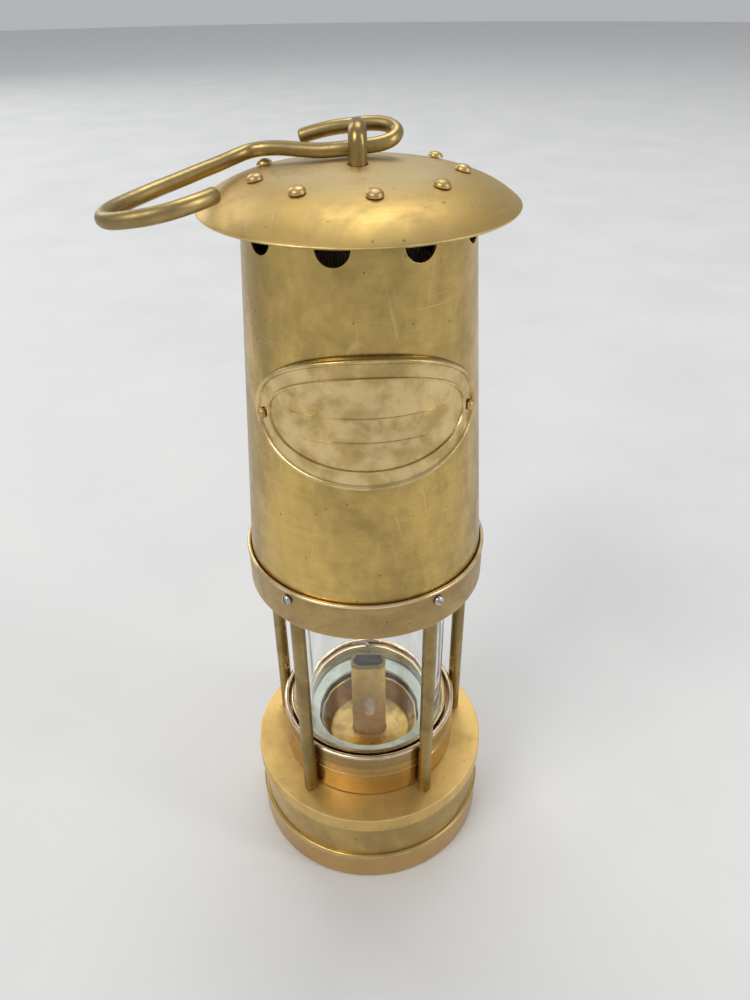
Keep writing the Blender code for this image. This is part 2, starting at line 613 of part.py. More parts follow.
def build_burner():
    """The screwed burner: plug, hub and dish in one, with the holes for the wick tube and pricker."""
    seat = VESSEL_HEIGHT + FIT
    hub_bottom = seat + BURNER_SHOULDER_HEIGHT
    dish_under = DISH_FLOOR_HEIGHT - DISH_WALL
    profile = [
        (0.0, DISH_FLOOR_HEIGHT), (DISH_FLOOR_RADIUS - DISH_WALL, DISH_FLOOR_HEIGHT),
        (DISH_RIM_RADIUS - DISH_WALL, DISH_RIM_HEIGHT - DISH_EDGE),
        (DISH_RIM_RADIUS - DISH_WALL + DISH_EDGE, DISH_RIM_HEIGHT),
        (DISH_RIM_RADIUS - DISH_EDGE, DISH_RIM_HEIGHT),
        (DISH_RIM_RADIUS, DISH_RIM_HEIGHT - DISH_EDGE),
        (DISH_FLOOR_RADIUS, dish_under), (BURNER_HUB_RADIUS, dish_under), (BURNER_HUB_RADIUS, hub_bottom),
        (BURNER_SHOULDER, hub_bottom), (BURNER_SHOULDER, seat), (BURNER_PLUG_RADIUS, seat),
        (BURNER_PLUG_RADIUS, burner_plug_bottom()), (0.0, burner_plug_bottom()),
    ]
    burner = add_part("burner_dish", turned_mesh(profile, closed=False), DARK_BRASS)
    height = DISH_RIM_HEIGHT - burner_plug_bottom()
    middle = (DISH_RIM_HEIGHT + burner_plug_bottom()) / 2
    tube_hole = outline_mesh([obround(WICK_TUBE_WIDTH + 2 * FIT, WICK_TUBE_DEPTH + 2 * FIT)], height + 0.002)
    tube_hole.transform(Matrix.Translation((0.0, 0.0, middle)))
    boolean(burner, add_cutter("wick_tube_hole", tube_hole))
    pricker_hole = Matrix.Translation((0.0, PRICKER_Y, middle))
    boolean(burner, add_cutter("pricker_hole", cylinder_bodies([pricker_hole], PRICKER_TUBE_RADIUS + FIT,
                                                               height + 0.002)))


def build_wick_and_tube():
    """The flat wick tube with the slot in its front face, and the wick in it."""
    bottom = wick_tube_bottom()
    length = WICK_TUBE_TOP - bottom
    bore_width = WICK_TUBE_WIDTH - 2 * WICK_TUBE_WALL
    bore_depth = WICK_TUBE_DEPTH - 2 * WICK_TUBE_WALL
    tube_mesh = outline_mesh([obround(WICK_TUBE_WIDTH, WICK_TUBE_DEPTH), obround(bore_width, bore_depth)],
                             length)
    tube_mesh.transform(Matrix.Translation((0.0, 0.0, bottom + length / 2)))
    tube = add_part("wick_tube", tube_mesh, DARK_BRASS)
    slot = outline_mesh([obround(WICK_SLOT_TOP - WICK_SLOT_BOTTOM, WICK_SLOT_WIDTH)], WICK_TUBE_DEPTH)
    turn = Matrix.Rotation(math.radians(90), 4, "X") @ Matrix.Rotation(math.radians(90), 4, "Z")
    place = Matrix.Translation((0.0, -WICK_TUBE_DEPTH / 2 - FIT, (WICK_SLOT_TOP + WICK_SLOT_BOTTOM) / 2))
    slot.transform(place @ turn)
    boolean(tube, add_cutter("wick_slot", slot))

    wick_top = WICK_TUBE_TOP + WICK_SHOWING
    wick_mesh = outline_mesh([obround(bore_width - 2 * FIT, bore_depth - 2 * FIT)],
                             wick_top - WICK_TAIL_HEIGHT)
    wick_mesh.transform(Matrix.Translation((0.0, 0.0, (wick_top + WICK_TAIL_HEIGHT) / 2)))
    add_part("wick", wick_mesh, COTTON)


def build_pricker():
    """The pricker wire, its knob and its fixed guide tube."""
    axis = add_empty("pricker_axis", (0.0, PRICKER_Y, 0.0))
    tube_bottom = PRICKER_RECESS_DEPTH
    tube_top = DISH_FLOOR_HEIGHT + PRICKER_TUBE_ABOVE
    tube = turned_mesh([(PRICKER_TUBE_BORE, tube_top), (PRICKER_TUBE_RADIUS, tube_top),
                        (PRICKER_TUBE_RADIUS, tube_bottom), (PRICKER_TUBE_BORE, tube_bottom)],
                       closed=True, steps=SMALL_STEPS)
    add_part("pricker_tube", tube, BRASS, matrix=Matrix.Translation((0.0, PRICKER_Y, 0.0)))

    knob_top = KNOB_LIFT + PRICKER_KNOB_HEIGHT
    edge = 0.0006
    knob = turned_mesh([(0.0, knob_top), (PRICKER_KNOB_RADIUS - edge, knob_top),
                        (PRICKER_KNOB_RADIUS, knob_top - edge), (PRICKER_KNOB_RADIUS, KNOB_LIFT + edge),
                        (PRICKER_KNOB_RADIUS - edge, KNOB_LIFT), (0.0, KNOB_LIFT)], closed=False, steps=24)
    add_part("pricker_knob", knob, BRASS, axis)

    bend = 2.5 * PRICKER_WIRE_RADIUS
    corner = [(-bend + x, 0.0, PRICKER_TOP - bend + z) for x, z in arc(0.0, 0.0, bend, 0, 90, 5)]
    wire = [(0.0, 0.0, knob_top + FIT)] + corner + [(-PRICKER_ARM, 0.0, PRICKER_TOP)]
    add_part("pricker_wire", rod_mesh(wire, PRICKER_WIRE_RADIUS, 1), STEEL, axis)


def build_filler():
    """The filler plug with its key slot, and its leather washer."""
    axis = add_empty("filler_axis", (FILLER_X, FILLER_Y, 0.0))
    head_top = KNOB_LIFT + FILLER_HEAD_HEIGHT
    stem_top = head_top + FILLER_STEM_LENGTH
    edge = 0.0005
    plug = add_part("filler_plug", turned_mesh([
        (0.0, stem_top), (FILLER_STEM_RADIUS - edge, stem_top), (FILLER_STEM_RADIUS, stem_top - edge),
        (FILLER_STEM_RADIUS, head_top), (FILLER_HEAD_RADIUS, head_top),
        (FILLER_HEAD_RADIUS, KNOB_LIFT + edge), (FILLER_HEAD_RADIUS - edge, KNOB_LIFT),
        (0.0, KNOB_LIFT)], closed=False, steps=24), BRASS, axis)
    slot_place = Matrix.Translation((FILLER_X, FILLER_Y, KNOB_LIFT))
    slot = box_mesh((4 * FILLER_HEAD_RADIUS, FILLER_SLOT_WIDTH, 2 * FILLER_SLOT_DEPTH), slot_place)
    boolean(plug, add_cutter("filler_slot", slot))
    bottom = head_top + FIT
    washer = turned_mesh([(FILLER_STEM_RADIUS + FIT, bottom + FILLER_WASHER),
                          (FILLER_HEAD_RADIUS - FIT, bottom + FILLER_WASHER),
                          (FILLER_HEAD_RADIUS - FIT, bottom), (FILLER_STEM_RADIUS + FIT, bottom)],
                         closed=True, steps=24)
    add_part("filler_washer", washer, LEATHER, matrix=Matrix.Translation((FILLER_X, FILLER_Y, 0.0)))


def build_lock_screw():
    """The screw that locks the vessel to the flange, with a square key socket."""
    axis = add_empty("lock_axis", lock_point(0.0))
    head_top = LOCK_RECESS_DEPTH - FIT
    head_bottom = head_top - LOCK_HEAD_HEIGHT
    tip = VESSEL_HEIGHT + FIT + LOCK_ENTRY
    edge = 0.0005
    screw = add_part("lock_screw", turned_mesh([
        (0.0, tip), (LOCK_SHANK_RADIUS - edge, tip), (LOCK_SHANK_RADIUS, tip - edge),
        (LOCK_SHANK_RADIUS, head_top), (LOCK_HEAD_RADIUS, head_top), (LOCK_HEAD_RADIUS, head_bottom),
        (0.0, head_bottom)], closed=False, steps=SMALL_STEPS), STEEL, axis)
    socket_place = Matrix.Translation(lock_point(head_bottom))
    socket = box_mesh((LOCK_SOCKET, LOCK_SOCKET, LOCK_HEAD_HEIGHT), socket_place)
    boolean(screw, add_cutter("lock_socket", socket))


# ---------------------------------------------------------------- frame round the glass

def build_flange(frame):
    """The base flange, with the pillar holes in its top and the lock hole in its underside."""
    bottom = VESSEL_HEIGHT + FIT
    bore = NECK_RADIUS + FIT
    profile = [
        (bore, FLANGE_TOP), (BASE_RADIUS - FLANGE_CHAMFER, FLANGE_TOP),
        (BASE_RADIUS, FLANGE_TOP - FLANGE_CHAMFER), (BASE_RADIUS, bottom + FLANGE_CHAMFER),
        (BASE_RADIUS - FLANGE_CHAMFER, bottom), (bore, bottom),
    ]
    flange = add_part("base_flange", turned_mesh(profile, closed=True), BRASS, frame)
    depth = SPIGOT_LENGTH + FIT
    holes = [Matrix.Translation(bearing_point(b, PILLAR_CIRCLE, FLANGE_TOP - depth / 2 + 0.0005))
             for b in pillar_bearings()]
    boolean(flange, add_cutter("flange_pillar_holes",
                               cylinder_bodies(holes, SPIGOT_RADIUS + FIT, depth + 0.001)))
    lock_hole = Matrix.Translation(lock_point(bottom + (LOCK_ENTRY + FIT) / 2 - 0.0005))
    boolean(flange, add_cutter("flange_lock_hole", cylinder_bodies([lock_hole], LOCK_SHANK_RADIUS + SCREW_FIT,
                                                                   LOCK_ENTRY + FIT + 0.001)))


def build_pillars(frame):
    """Five plain pillars with a spigot at each end."""
    bottom = FLANGE_TOP + FIT
    top = BAND_BOTTOM - FIT
    spigot_top = top + BAND_PLATE - SPIGOT_SHORT
    mesh = turned_mesh([
        (0.0, spigot_top), (SPIGOT_RADIUS, spigot_top), (SPIGOT_RADIUS, top),
        (PILLAR_RADIUS, top), (PILLAR_RADIUS, bottom), (SPIGOT_RADIUS, bottom),
        (SPIGOT_RADIUS, bottom - SPIGOT_LENGTH), (0.0, bottom - SPIGOT_LENGTH)],
        closed=False, steps=SMALL_STEPS)
    for index, bearing in enumerate(pillar_bearings(), start=1):
        place = Matrix.Translation(bearing_point(bearing, PILLAR_CIRCLE, 0.0))
        add_part(f"pillar_{index}", mesh.copy(), BRASS, frame, place)


def build_glass(frame):
    """The seat ring, clamp ring, both gaskets and the glass."""
    lip_inner = SEAT_RADIUS - SEAT_LIP
    lip_round = SEAT_LIP / 2
    bottom = FLANGE_TOP + FIT
    ledge_under = SEAT_LEDGE_TOP - SEAT_LEDGE
    lip = arc(SEAT_RADIUS - lip_round, SEAT_TOP - lip_round, lip_round, 180, 0, 7)
    seat = lip + [(SEAT_RADIUS, bottom), (SEAT_RADIUS - SEAT_SKIRT, bottom),
                  (SEAT_RADIUS - SEAT_SKIRT, ledge_under), (SEAT_BORE, ledge_under),
                  (SEAT_BORE, SEAT_LEDGE_TOP), (lip_inner, SEAT_LEDGE_TOP)]
    add_part("glass_seat_ring", turned_mesh(seat, closed=True), COPPERY_BRASS, frame)

    clamp_inner = GLASS_RADIUS + FIT
    clamp_outer = lip_inner - CLAMP_GROOVE
    clamp_bottom = SEAT_LEDGE_TOP + FIT
    clamp_top = SEAT_TOP - CLAMP_DROP
    edge = 0.0003
    clamp = [(clamp_inner, clamp_top - edge), (clamp_inner + edge, clamp_top),
             (clamp_outer - edge, clamp_top), (clamp_outer, clamp_top - edge),
             (clamp_outer, clamp_bottom), (clamp_inner, clamp_bottom)]
    add_part("glass_clamp_ring", turned_mesh(clamp, closed=True), BRASS, frame)

    inner = GLASS_RADIUS - GLASS_WALL
    low = SEAT_LEDGE_TOP + FIT
    gasket = [(SEAT_BORE, low + GASKET), (GLASS_RADIUS, low + GASKET), (GLASS_RADIUS, low), (SEAT_BORE, low)]
    add_part("lower_gasket", turned_mesh(gasket, closed=True), PACKING, frame)
    edge = 0.0005
    bottom, top = glass_bottom(), glass_top()
    glass = [(inner, top - edge), (inner + edge, top), (GLASS_RADIUS - edge, top), (GLASS_RADIUS, top - edge),
             (GLASS_RADIUS, bottom + edge), (GLASS_RADIUS - edge, bottom), (inner + edge, bottom),
             (inner, bottom + edge)]
    add_part("lamp_glass", turned_mesh(glass, closed=True), GLASS, frame)
    high = top + FIT
    gasket = [(inner, high + TOP_GASKET), (GLASS_RADIUS, high + TOP_GASKET), (GLASS_RADIUS, high),
              (inner, high)]
    add_part("upper_gasket", turned_mesh(gasket, closed=True), PACKING, frame)


def band_screw_holes():
    """One cutter for the screw holes through the band, the bonnet and the gauze ring."""
    reach = 0.010
    holes = [outward_frame(b, BAND_RADIUS - reach / 2 + 0.001, SCREW_HEIGHT) for b in pillar_bearings()]
    return add_cutter("band_screw_holes", cylinder_bodies(holes, SCREW_SHANK_RADIUS + SCREW_FIT, reach, 12))


def build_band(frame, screw_holes):
    """The middle band, a ring with an inward plate that the pillars and the glass meet."""
    inner = BAND_RADIUS - BAND_WALL
    rim = BAND_WALL / 2
    plate_top = BAND_BOTTOM + BAND_PLATE
    profile = arc(BAND_RADIUS - rim, BAND_TOP - rim, rim, 180, 0, 5) + [
        (BAND_RADIUS, BAND_BOTTOM + FLANGE_CHAMFER), (BAND_RADIUS - FLANGE_CHAMFER, BAND_BOTTOM),
        (BAND_BORE, BAND_BOTTOM), (BAND_BORE, plate_top), (inner, plate_top)]
    band = add_part("middle_band", turned_mesh(profile, closed=True), DARK_BRASS, frame)
    holes = [Matrix.Translation(bearing_point(b, PILLAR_CIRCLE, BAND_BOTTOM + BAND_PLATE / 2))
             for b in pillar_bearings()]
    boolean(band, add_cutter("band_pillar_holes",
                             cylinder_bodies(holes, SPIGOT_RADIUS + FIT, BAND_PLATE + 0.001)))
    boolean(band, screw_holes)


def dome_profile(radius, height, shank_radius, shank_length, count=5):
    """Profile of a round-headed rivet or screw, its head standing on Z = 0."""
    dome = [(radius * math.sin(a), height * math.cos(a))
            for a in (math.radians(90 * i / (count - 1)) for i in range(count))]
    dome[0] = (0.0, height)
    return dome + [(shank_radius, 0.0), (shank_radius, -shank_length), (0.0, -shank_length)]


def build_band_screws(frame):
    """Round-headed steel screws that hold the bonnet in the band."""
    length = BAND_WALL + BONNET_SHEET + GAUZE_RING_UPSTAND + 3 * FIT
    mesh = turned_mesh(dome_profile(SCREW_HEAD_RADIUS, SCREW_HEAD_HEIGHT, SCREW_SHANK_RADIUS, length),
                       closed=False, steps=SMALL_STEPS)
    for index, bearing in enumerate(pillar_bearings(), start=1):
        place = outward_frame(bearing, BAND_RADIUS + FIT, SCREW_HEIGHT)
        screw = add_part(f"band_screw_{index}", mesh.copy(), STEEL, frame, place)
        tilt = Matrix.Rotation(math.radians(37.0 * index), 4, "Z")
        slot_size = (3 * SCREW_HEAD_RADIUS, SCREW_SLOT, SCREW_HEAD_HEIGHT)
        slot_place = place @ Matrix.Translation((0.0, 0.0, SCREW_HEAD_HEIGHT)) @ tilt
        boolean(screw, add_cutter(f"band_screw_slot_{index}", box_mesh(slot_size, slot_place)))


def build_gauzes(frame, screw_holes):
    """The inner and outer gauze thimbles, and the ring that clamps their feet."""
    floor = BAND_BOTTOM + BAND_PLATE
    inner_foot = floor + FIT
    outer_foot = inner_foot + GAUZE_SHEET + FIT
    ring_bottom = outer_foot + GAUZE_SHEET + FIT
    ring_top = ring_bottom + GAUZE_RING_PLATE
    ring_outer = BONNET_RADIUS - BONNET_SHEET - FIT
    upstand_inner = ring_outer - GAUZE_RING_UPSTAND
    upstand_top = SCREW_HEIGHT + GAUZE_RING_ABOVE

    for name, foot, radius, top in (
            ("inner_gauze", inner_foot, INNER_GAUZE_RADIUS, INNER_GAUZE_TOP),
            ("outer_gauze", outer_foot, OUTER_GAUZE_RADIUS, OUTER_GAUZE_TOP)):
        top_radius = radius - GAUZE_TAPER * (top - foot)
        corner = 0.0015
        profile = [
            (0.0, top), (top_radius - corner, top), (top_radius, top - corner), (radius, foot + GAUZE_SHEET),
            (GAUZE_FOOT_RADIUS, foot + GAUZE_SHEET), (GAUZE_FOOT_RADIUS, foot),
            (radius - GAUZE_SHEET, foot), (top_radius - GAUZE_SHEET, top - corner),
            (top_radius - corner, top - GAUZE_SHEET), (0.0, top - GAUZE_SHEET)]
        add_part(name, turned_mesh(profile, closed=False, steps=32), GAUZE_STEEL, frame)

    ring = [(upstand_inner, upstand_top), (ring_outer, upstand_top), (ring_outer, ring_bottom),
            (OUTER_GAUZE_RADIUS + FIT, ring_bottom), (OUTER_GAUZE_RADIUS + FIT, ring_top),
            (upstand_inner, ring_top)]
    gauze_ring = add_part("gauze_ring", turned_mesh(ring, closed=True), DARK_BRASS, frame)
    boolean(gauze_ring, screw_holes)


# ---------------------------------------------------------------- bonnet, plate and hood

def rivet_frames():
    """Places of the hood rivets, square to the hood's surface."""
    slope = hood_slope(HOOD_RIVET_CIRCLE)
    height = hood_height(HOOD_RIVET_CIRCLE)
    return [outward_frame(b, HOOD_RIVET_CIRCLE, height, 90 - slope)
            for b in bearings(HOOD_RIVET_COUNT, HOOD_RIVET_BEARING)]


def rivet_length():
    """Shank length from the hood's surface, through both sheets."""
    return HOOD_SHEET + BONNET_SHEET + 2 * FIT + RIVET_TAIL


def hood_rivet_holes():
    """One cutter for the rivet holes through the hood and the bonnet's flange."""
    return add_cutter("hood_rivet_holes",
                      cylinder_bodies(rivet_frames(), RIVET_SHANK_RADIUS + FIT, 0.012, 12))


def plate_frames(lift):
    """Places of the two plate rivets, a given distance outside the bonnet."""
    height = PLATE_HEIGHT - PLATE_RIVET_DROP
    radius = bonnet_radius(height)
    half = math.degrees(PLATE_RIVET_ARC / 2 / radius)
    return [outward_frame(PLATE_BEARING + side * half, radius + lift, height,
                          math.degrees(math.atan(BONNET_TAPER))) for side in (-1, 1)]


def plate_rivet_holes():
    """One cutter for the rivet holes through the plate and the bonnet."""
    return add_cutter("plate_rivet_holes",
                      cylinder_bodies(plate_frames(0.0), PLATE_RIVET_SHANK + FIT, 0.010, 12))


def build_bonnet(frame, screw_holes, rivet_holes, plate_holes):
    """The tapered bonnet, its top turned in under the hood, with the ring of vents."""
    edge = 0.0006
    flange_gap = HOOD_SHEET + FIT
    top = hood_height(bonnet_radius(HOOD_CROWN)) - flange_gap
    outer_top = bonnet_radius(top)
    flange_inner_top = hood_height(BONNET_FLANGE_BORE) - flange_gap
    bottom = BAND_BOTTOM + BAND_PLATE + 2 * FIT
    middle = (outer_top + BONNET_FLANGE_BORE) / 2
    profile = [
        (BONNET_FLANGE_BORE, flange_inner_top), (middle, hood_height(middle) - flange_gap),
        (outer_top - edge, hood_height(outer_top - edge) - flange_gap),
        (outer_top, top - edge), (BONNET_RADIUS, BAND_TOP), (BONNET_RADIUS, bottom),
        (BONNET_RADIUS - BONNET_SHEET, bottom), (BONNET_RADIUS - BONNET_SHEET, BAND_TOP),
        (outer_top - BONNET_SHEET, top - edge - BONNET_SHEET),
        (middle, hood_height(middle) - flange_gap - BONNET_SHEET),
        (BONNET_FLANGE_BORE, flange_inner_top - BONNET_SHEET)]
    bonnet = add_part("bonnet", turned_mesh(profile, closed=True), BRASS, frame)
    vents = [outward_frame(b, bonnet_radius(VENT_HEIGHT), VENT_HEIGHT, math.degrees(math.atan(BONNET_TAPER)))
             for b in bearings(VENT_COUNT, VENT_BEARING)]
    boolean(bonnet, add_cutter("vents", cylinder_bodies(vents, VENT_RADIUS, 0.010, 20)))
    for holes in (screw_holes, rivet_holes, plate_holes):
        boolean(bonnet, holes)


def build_plate(frame, plate_holes):
    """The oval plate, cut from a shell that follows the bonnet, and its two rivets."""
    reach = PLATE_TALL / 2 + 0.002
    low, high = PLATE_HEIGHT - reach, PLATE_HEIGHT + reach
    shell = turned_mesh([
        (bonnet_radius(high) + FIT, high), (bonnet_radius(high) + FIT + PLATE_SHEET, high),
        (bonnet_radius(low) + FIT + PLATE_SHEET, low), (bonnet_radius(low) + FIT, low)], closed=True)
    plate = add_part("name_plate", shell, BRASS, frame)
    radius = bonnet_radius(PLATE_HEIGHT)
    outline = []
    for i in range(48):
        angle = math.tau * i / 48
        round_arc = PLATE_ARC / 2 * math.cos(angle) / radius
        outline.append((radius * math.sin(round_arc), PLATE_TALL / 2 * math.sin(angle)))
    block = outline_mesh([outline], radius + 0.004)
    turn = Matrix.Rotation(math.radians(PLATE_BEARING), 4, "Z")
    upright = Matrix.Translation((0.0, -(radius + 0.004) / 2 - 0.005, PLATE_HEIGHT)) @ Matrix.Rotation(
        math.radians(90), 4, "X")
    block.transform(turn @ upright)
    boolean(plate, add_cutter("plate_outline", block), "INTERSECT")
    boolean(plate, plate_holes)
    length = PLATE_SHEET + BONNET_SHEET + 2 * FIT + RIVET_TAIL
    mesh = turned_mesh(dome_profile(PLATE_RIVET_RADIUS, PLATE_RIVET_HEIGHT, PLATE_RIVET_SHANK, length),
                       closed=False, steps=SMALL_STEPS)
    for index, place in enumerate(plate_frames(PLATE_SHEET + 2 * FIT), start=1):
        add_part(f"plate_rivet_{index}", mesh.copy(), BRASS, frame, place)


def staple_legs():
    """Places of the staple's front and rear legs."""
    return [(0.0, -STAPLE_SPAN / 2), (0.0, STAPLE_SPAN / 2)]


def build_hood(frame, rivet_holes):
    """The spun hood and its rivets."""
    radii = [HOOD_RADIUS * share for share in (0.0, 0.23, 0.46, 0.63, 0.76, 0.85, 0.92, 0.966, 1.0)]
    top = [(r, hood_height(r)) for r in radii]
    underside = []
    for r in reversed(radii[1:]):
        tilt = math.radians(hood_slope(r))
        underside.append((r - HOOD_SHEET * math.sin(tilt), hood_height(r) - HOOD_SHEET * math.cos(tilt)))
    profile = top + underside + [(0.0, HOOD_CROWN - HOOD_SHEET)]
    hood = add_part("hood", turned_mesh(profile, closed=False), BRASS, frame)
    boolean(hood, rivet_holes)
    legs = [Matrix.Translation((x, y, HOOD_CROWN)) for x, y in staple_legs()]
    boolean(hood, add_cutter("staple_holes", cylinder_bodies(legs, STAPLE_ROD_RADIUS + FIT, 0.012)))

    mesh = turned_mesh(dome_profile(RIVET_HEAD_RADIUS, RIVET_HEAD_HEIGHT, RIVET_SHANK_RADIUS,
                                    rivet_length()), closed=False, steps=12)
    lift = Matrix.Translation((0.0, 0.0, FIT))
    for index, place in enumerate(rivet_frames(), start=1):
        add_part(f"hood_rivet_{index}", mesh.copy(), BRASS, frame, place @ lift)


def build_staple(frame):
    """The staple on the crown, and the nuts that hold its legs under the hood."""
    half = STAPLE_SPAN / 2
    bar = HOOD_CROWN + 2 * HOOK_ROD_RADIUS + STAPLE_PLAY + STAPLE_ROD_RADIUS
    nut_top = hood_height(half) - HOOD_SHEET - 2 * FIT
    nut_top -= HOOD_CONE * NUT_FLATS
    foot = nut_top - NUT_HEIGHT - NUT_TAIL
    corners = arc(-half + STAPLE_BEND, bar - STAPLE_BEND, STAPLE_BEND, 180, 90, 7)
    corners += arc(half - STAPLE_BEND, bar - STAPLE_BEND, STAPLE_BEND, 90, 0, 7)
    route = [(0.0, -half, foot)] + [(0.0, y, z) for y, z in corners] + [(0.0, half, foot)]
    add_part("staple", rod_mesh(route, STAPLE_ROD_RADIUS, 3), BRASS, frame)
    for index, (x, y) in enumerate(staple_legs(), start=1):
        place = Matrix.Translation((x, y, nut_top - NUT_HEIGHT / 2))
        body = cylinder_bodies([Matrix.Identity(4)], NUT_FLATS / 2 / math.cos(math.radians(30)),
                               NUT_HEIGHT, 6)
        nut = add_part(f"staple_nut_{index}", body, STEEL, frame, place)
        boolean(nut, add_cutter(f"nut_bore_{index}", cylinder_bodies([place], STAPLE_ROD_RADIUS + FIT,
                                                                     2 * NUT_HEIGHT)))


def hook_points():
    """Points of the hook's middle line about its pivot."""
    touching = STAPLE_ROD_RADIUS + HOOK_ROD_RADIUS
    points = []
    for angle, gap, height in HOOK_ROUTE:
        turn = math.radians(angle)
        points.append(((touching + gap) * math.cos(turn), (touching + gap) * math.sin(turn), height))
    return points


def build_hook(frame):
    """The hook, which swings about the staple's rear leg."""
    pivot = add_empty("hook_axis", (0.0, STAPLE_SPAN / 2, HOOD_CROWN + HOOK_ROD_RADIUS + FIT))
    pivot.parent = frame
    add_part("hook", rod_mesh(smooth_route(hook_points(), 2), HOOK_ROD_RADIUS, 2), BRASS, pivot)


def main():
    """Build every piece, the vessel first and then the frame that lifts off it."""
    clear_scene()
    build_vessel()
    build_cotton()
    build_burner()
    build_wick_and_tube()
    build_pricker()
    build_filler()
    build_lock_screw()

    frame = add_empty("upper_frame", (0.0, 0.0, 0.0))
    screw_holes = band_screw_holes()
    rivet_holes = hood_rivet_holes()
    plate_holes = plate_rivet_holes()
    build_flange(frame)
    build_pillars(frame)
    build_glass(frame)
    build_band(frame, screw_holes)
    build_band_screws(frame)
    build_gauzes(frame, screw_holes)
    build_bonnet(frame, screw_holes, rivet_holes, plate_holes)
    build_plate(frame, plate_holes)
    build_hood(frame, rivet_holes)
    build_staple(frame)
    build_hook(frame)
    bpy.context.view_layer.update()


main()
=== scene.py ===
"""Looks of a miner's safety lamp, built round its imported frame.

Metres, +Z up, the oval plate towards -Y. Each sub-assembly is a class whose fields are its sizes and whose
methods make its meshes and dress them. Places come from the frame's own boxes. Bearings are degrees from
the front, positive towards +X.
"""
from __future__ import annotations

import json
import logging
import math
import sys
from dataclasses import dataclass
from enum import Enum
from functools import cache
from typing import Callable, Iterable, Sequence

import bmesh
import bpy
from mathutils import Matrix, Vector, noise

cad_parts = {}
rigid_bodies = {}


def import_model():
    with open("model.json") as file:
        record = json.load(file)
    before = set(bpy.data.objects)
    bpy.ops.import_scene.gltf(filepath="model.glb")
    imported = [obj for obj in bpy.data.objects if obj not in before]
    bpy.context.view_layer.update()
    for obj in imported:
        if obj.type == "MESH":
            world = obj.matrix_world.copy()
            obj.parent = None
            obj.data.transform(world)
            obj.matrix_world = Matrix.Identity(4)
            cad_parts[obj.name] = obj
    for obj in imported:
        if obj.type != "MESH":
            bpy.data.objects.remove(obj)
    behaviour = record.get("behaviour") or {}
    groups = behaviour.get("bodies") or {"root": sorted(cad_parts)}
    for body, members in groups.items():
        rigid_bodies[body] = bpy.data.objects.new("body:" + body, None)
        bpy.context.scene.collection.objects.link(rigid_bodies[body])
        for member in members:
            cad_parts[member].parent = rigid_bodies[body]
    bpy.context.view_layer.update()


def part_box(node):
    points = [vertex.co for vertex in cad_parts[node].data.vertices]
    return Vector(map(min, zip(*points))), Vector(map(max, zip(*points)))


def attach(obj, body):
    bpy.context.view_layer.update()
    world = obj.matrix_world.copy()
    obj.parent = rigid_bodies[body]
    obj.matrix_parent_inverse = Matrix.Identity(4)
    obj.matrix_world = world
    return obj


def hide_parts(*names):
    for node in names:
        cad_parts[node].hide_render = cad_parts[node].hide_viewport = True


log = logging.getLogger("safety_lamp")

Point2 = tuple[float, float]
Colour = tuple[float, float, float]

FIT = 0.0003            # gap between pieces that touch
ROUND = 144             # facets round a large turned piece
SMALL_ROUND = 40        # facets round a small one
MERGE = 2e-6            # points nearer than this are one
STAPLE_ROD = 0.0024     # radius of the staple's rod, which the hook turns about
BEAD_HEIGHT = 0.0125    # middle of the bead round the vessel


class Body(Enum):
    """The bodies that pieces ride on."""

    VESSEL = "vessel"
    FRAME = "upper_frame"
    HOOK = "hook"
    PRICKER = "pricker"
    FILLER = "filler"
    LOCK = "lock"


class Slot(Enum):
    """The record's material slots."""

    VESSEL = "vessel_brass"
    FRAME = "frame_brass"
    SEAT = "seat_brass"
    BAND = "band_brass"
    BONNET = "bonnet_brass"
    HOOD = "hood_brass"
    HOOK = "hook_brass"
    BURNER = "burner_brass"
    STEEL = "steel"
    GAUZE = "gauze"
    GLASS = "glass"
    GASKET = "gasket"
    LEATHER = "leather"
    COTTON = "cotton"


# ---------------------------------------------------------------- places

@cache
def corners(node: str) -> tuple[Vector, Vector]:
    """Both corners of a node's box, read once."""
    start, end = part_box(node)
    return Vector(start).freeze(), Vector(end).freeze()


def low(node: str) -> Vector:
    """Lowest corner of a node's box."""
    return corners(node)[0]


def high(node: str) -> Vector:
    """Highest corner of a node's box."""
    return corners(node)[1]


def middle(node: str) -> Vector:
    """Middle of a node's box."""
    return (low(node) + high(node)) / 2


def span(node: str) -> tuple[float, float, float]:
    """Lower end, upper end and outer radius of a node's box."""
    return low(node).z, high(node).z, high(node).x


def upright(node: str) -> Matrix:
    """A matrix that moves a shape made about the origin on to a node's own upright axis."""
    centre = middle(node)
    return Matrix.Translation((centre.x, centre.y, 0.0))


def raised(height: float) -> Matrix:
    """A matrix that lifts by a height."""
    return Matrix.Translation((0.0, 0.0, height))


def past(radius: float) -> Callable[[bmesh.types.BMEdge], bool]:
    """A test that an edge lies wholly past a radius."""
    return lambda edge: min(vert.co.xy.length for vert in edge.verts) > radius


def bearing_of(node: str) -> float:
    """Bearing of a node's middle, in degrees from the front."""
    centre = middle(node)
    return math.degrees(math.atan2(centre.x, -centre.y))


def bearing_point(bearing: float, radius: float, height: float) -> Vector:
    """A point at a bearing."""
    angle = math.radians(bearing)
    return Vector((radius * math.sin(angle), -radius * math.cos(angle), height))


def outward_frame(bearing: float, radius: float, height: float, lift: float = 0.0) -> Matrix:
    """A matrix whose Z points outwards.

    Args:
        bearing: degrees from the front.
        radius: distance from the lamp's axis.
        height: height above the underside.
        lift: degrees that Z is tipped upwards.

    Returns:
        The placing matrix.
    """
    spin = Matrix.Rotation(math.radians(bearing), 4, "Z")
    tip = Matrix.Rotation(math.radians(90 - lift), 4, "X")
    return Matrix.Translation(bearing_point(bearing, radius, height)) @ spin @ tip


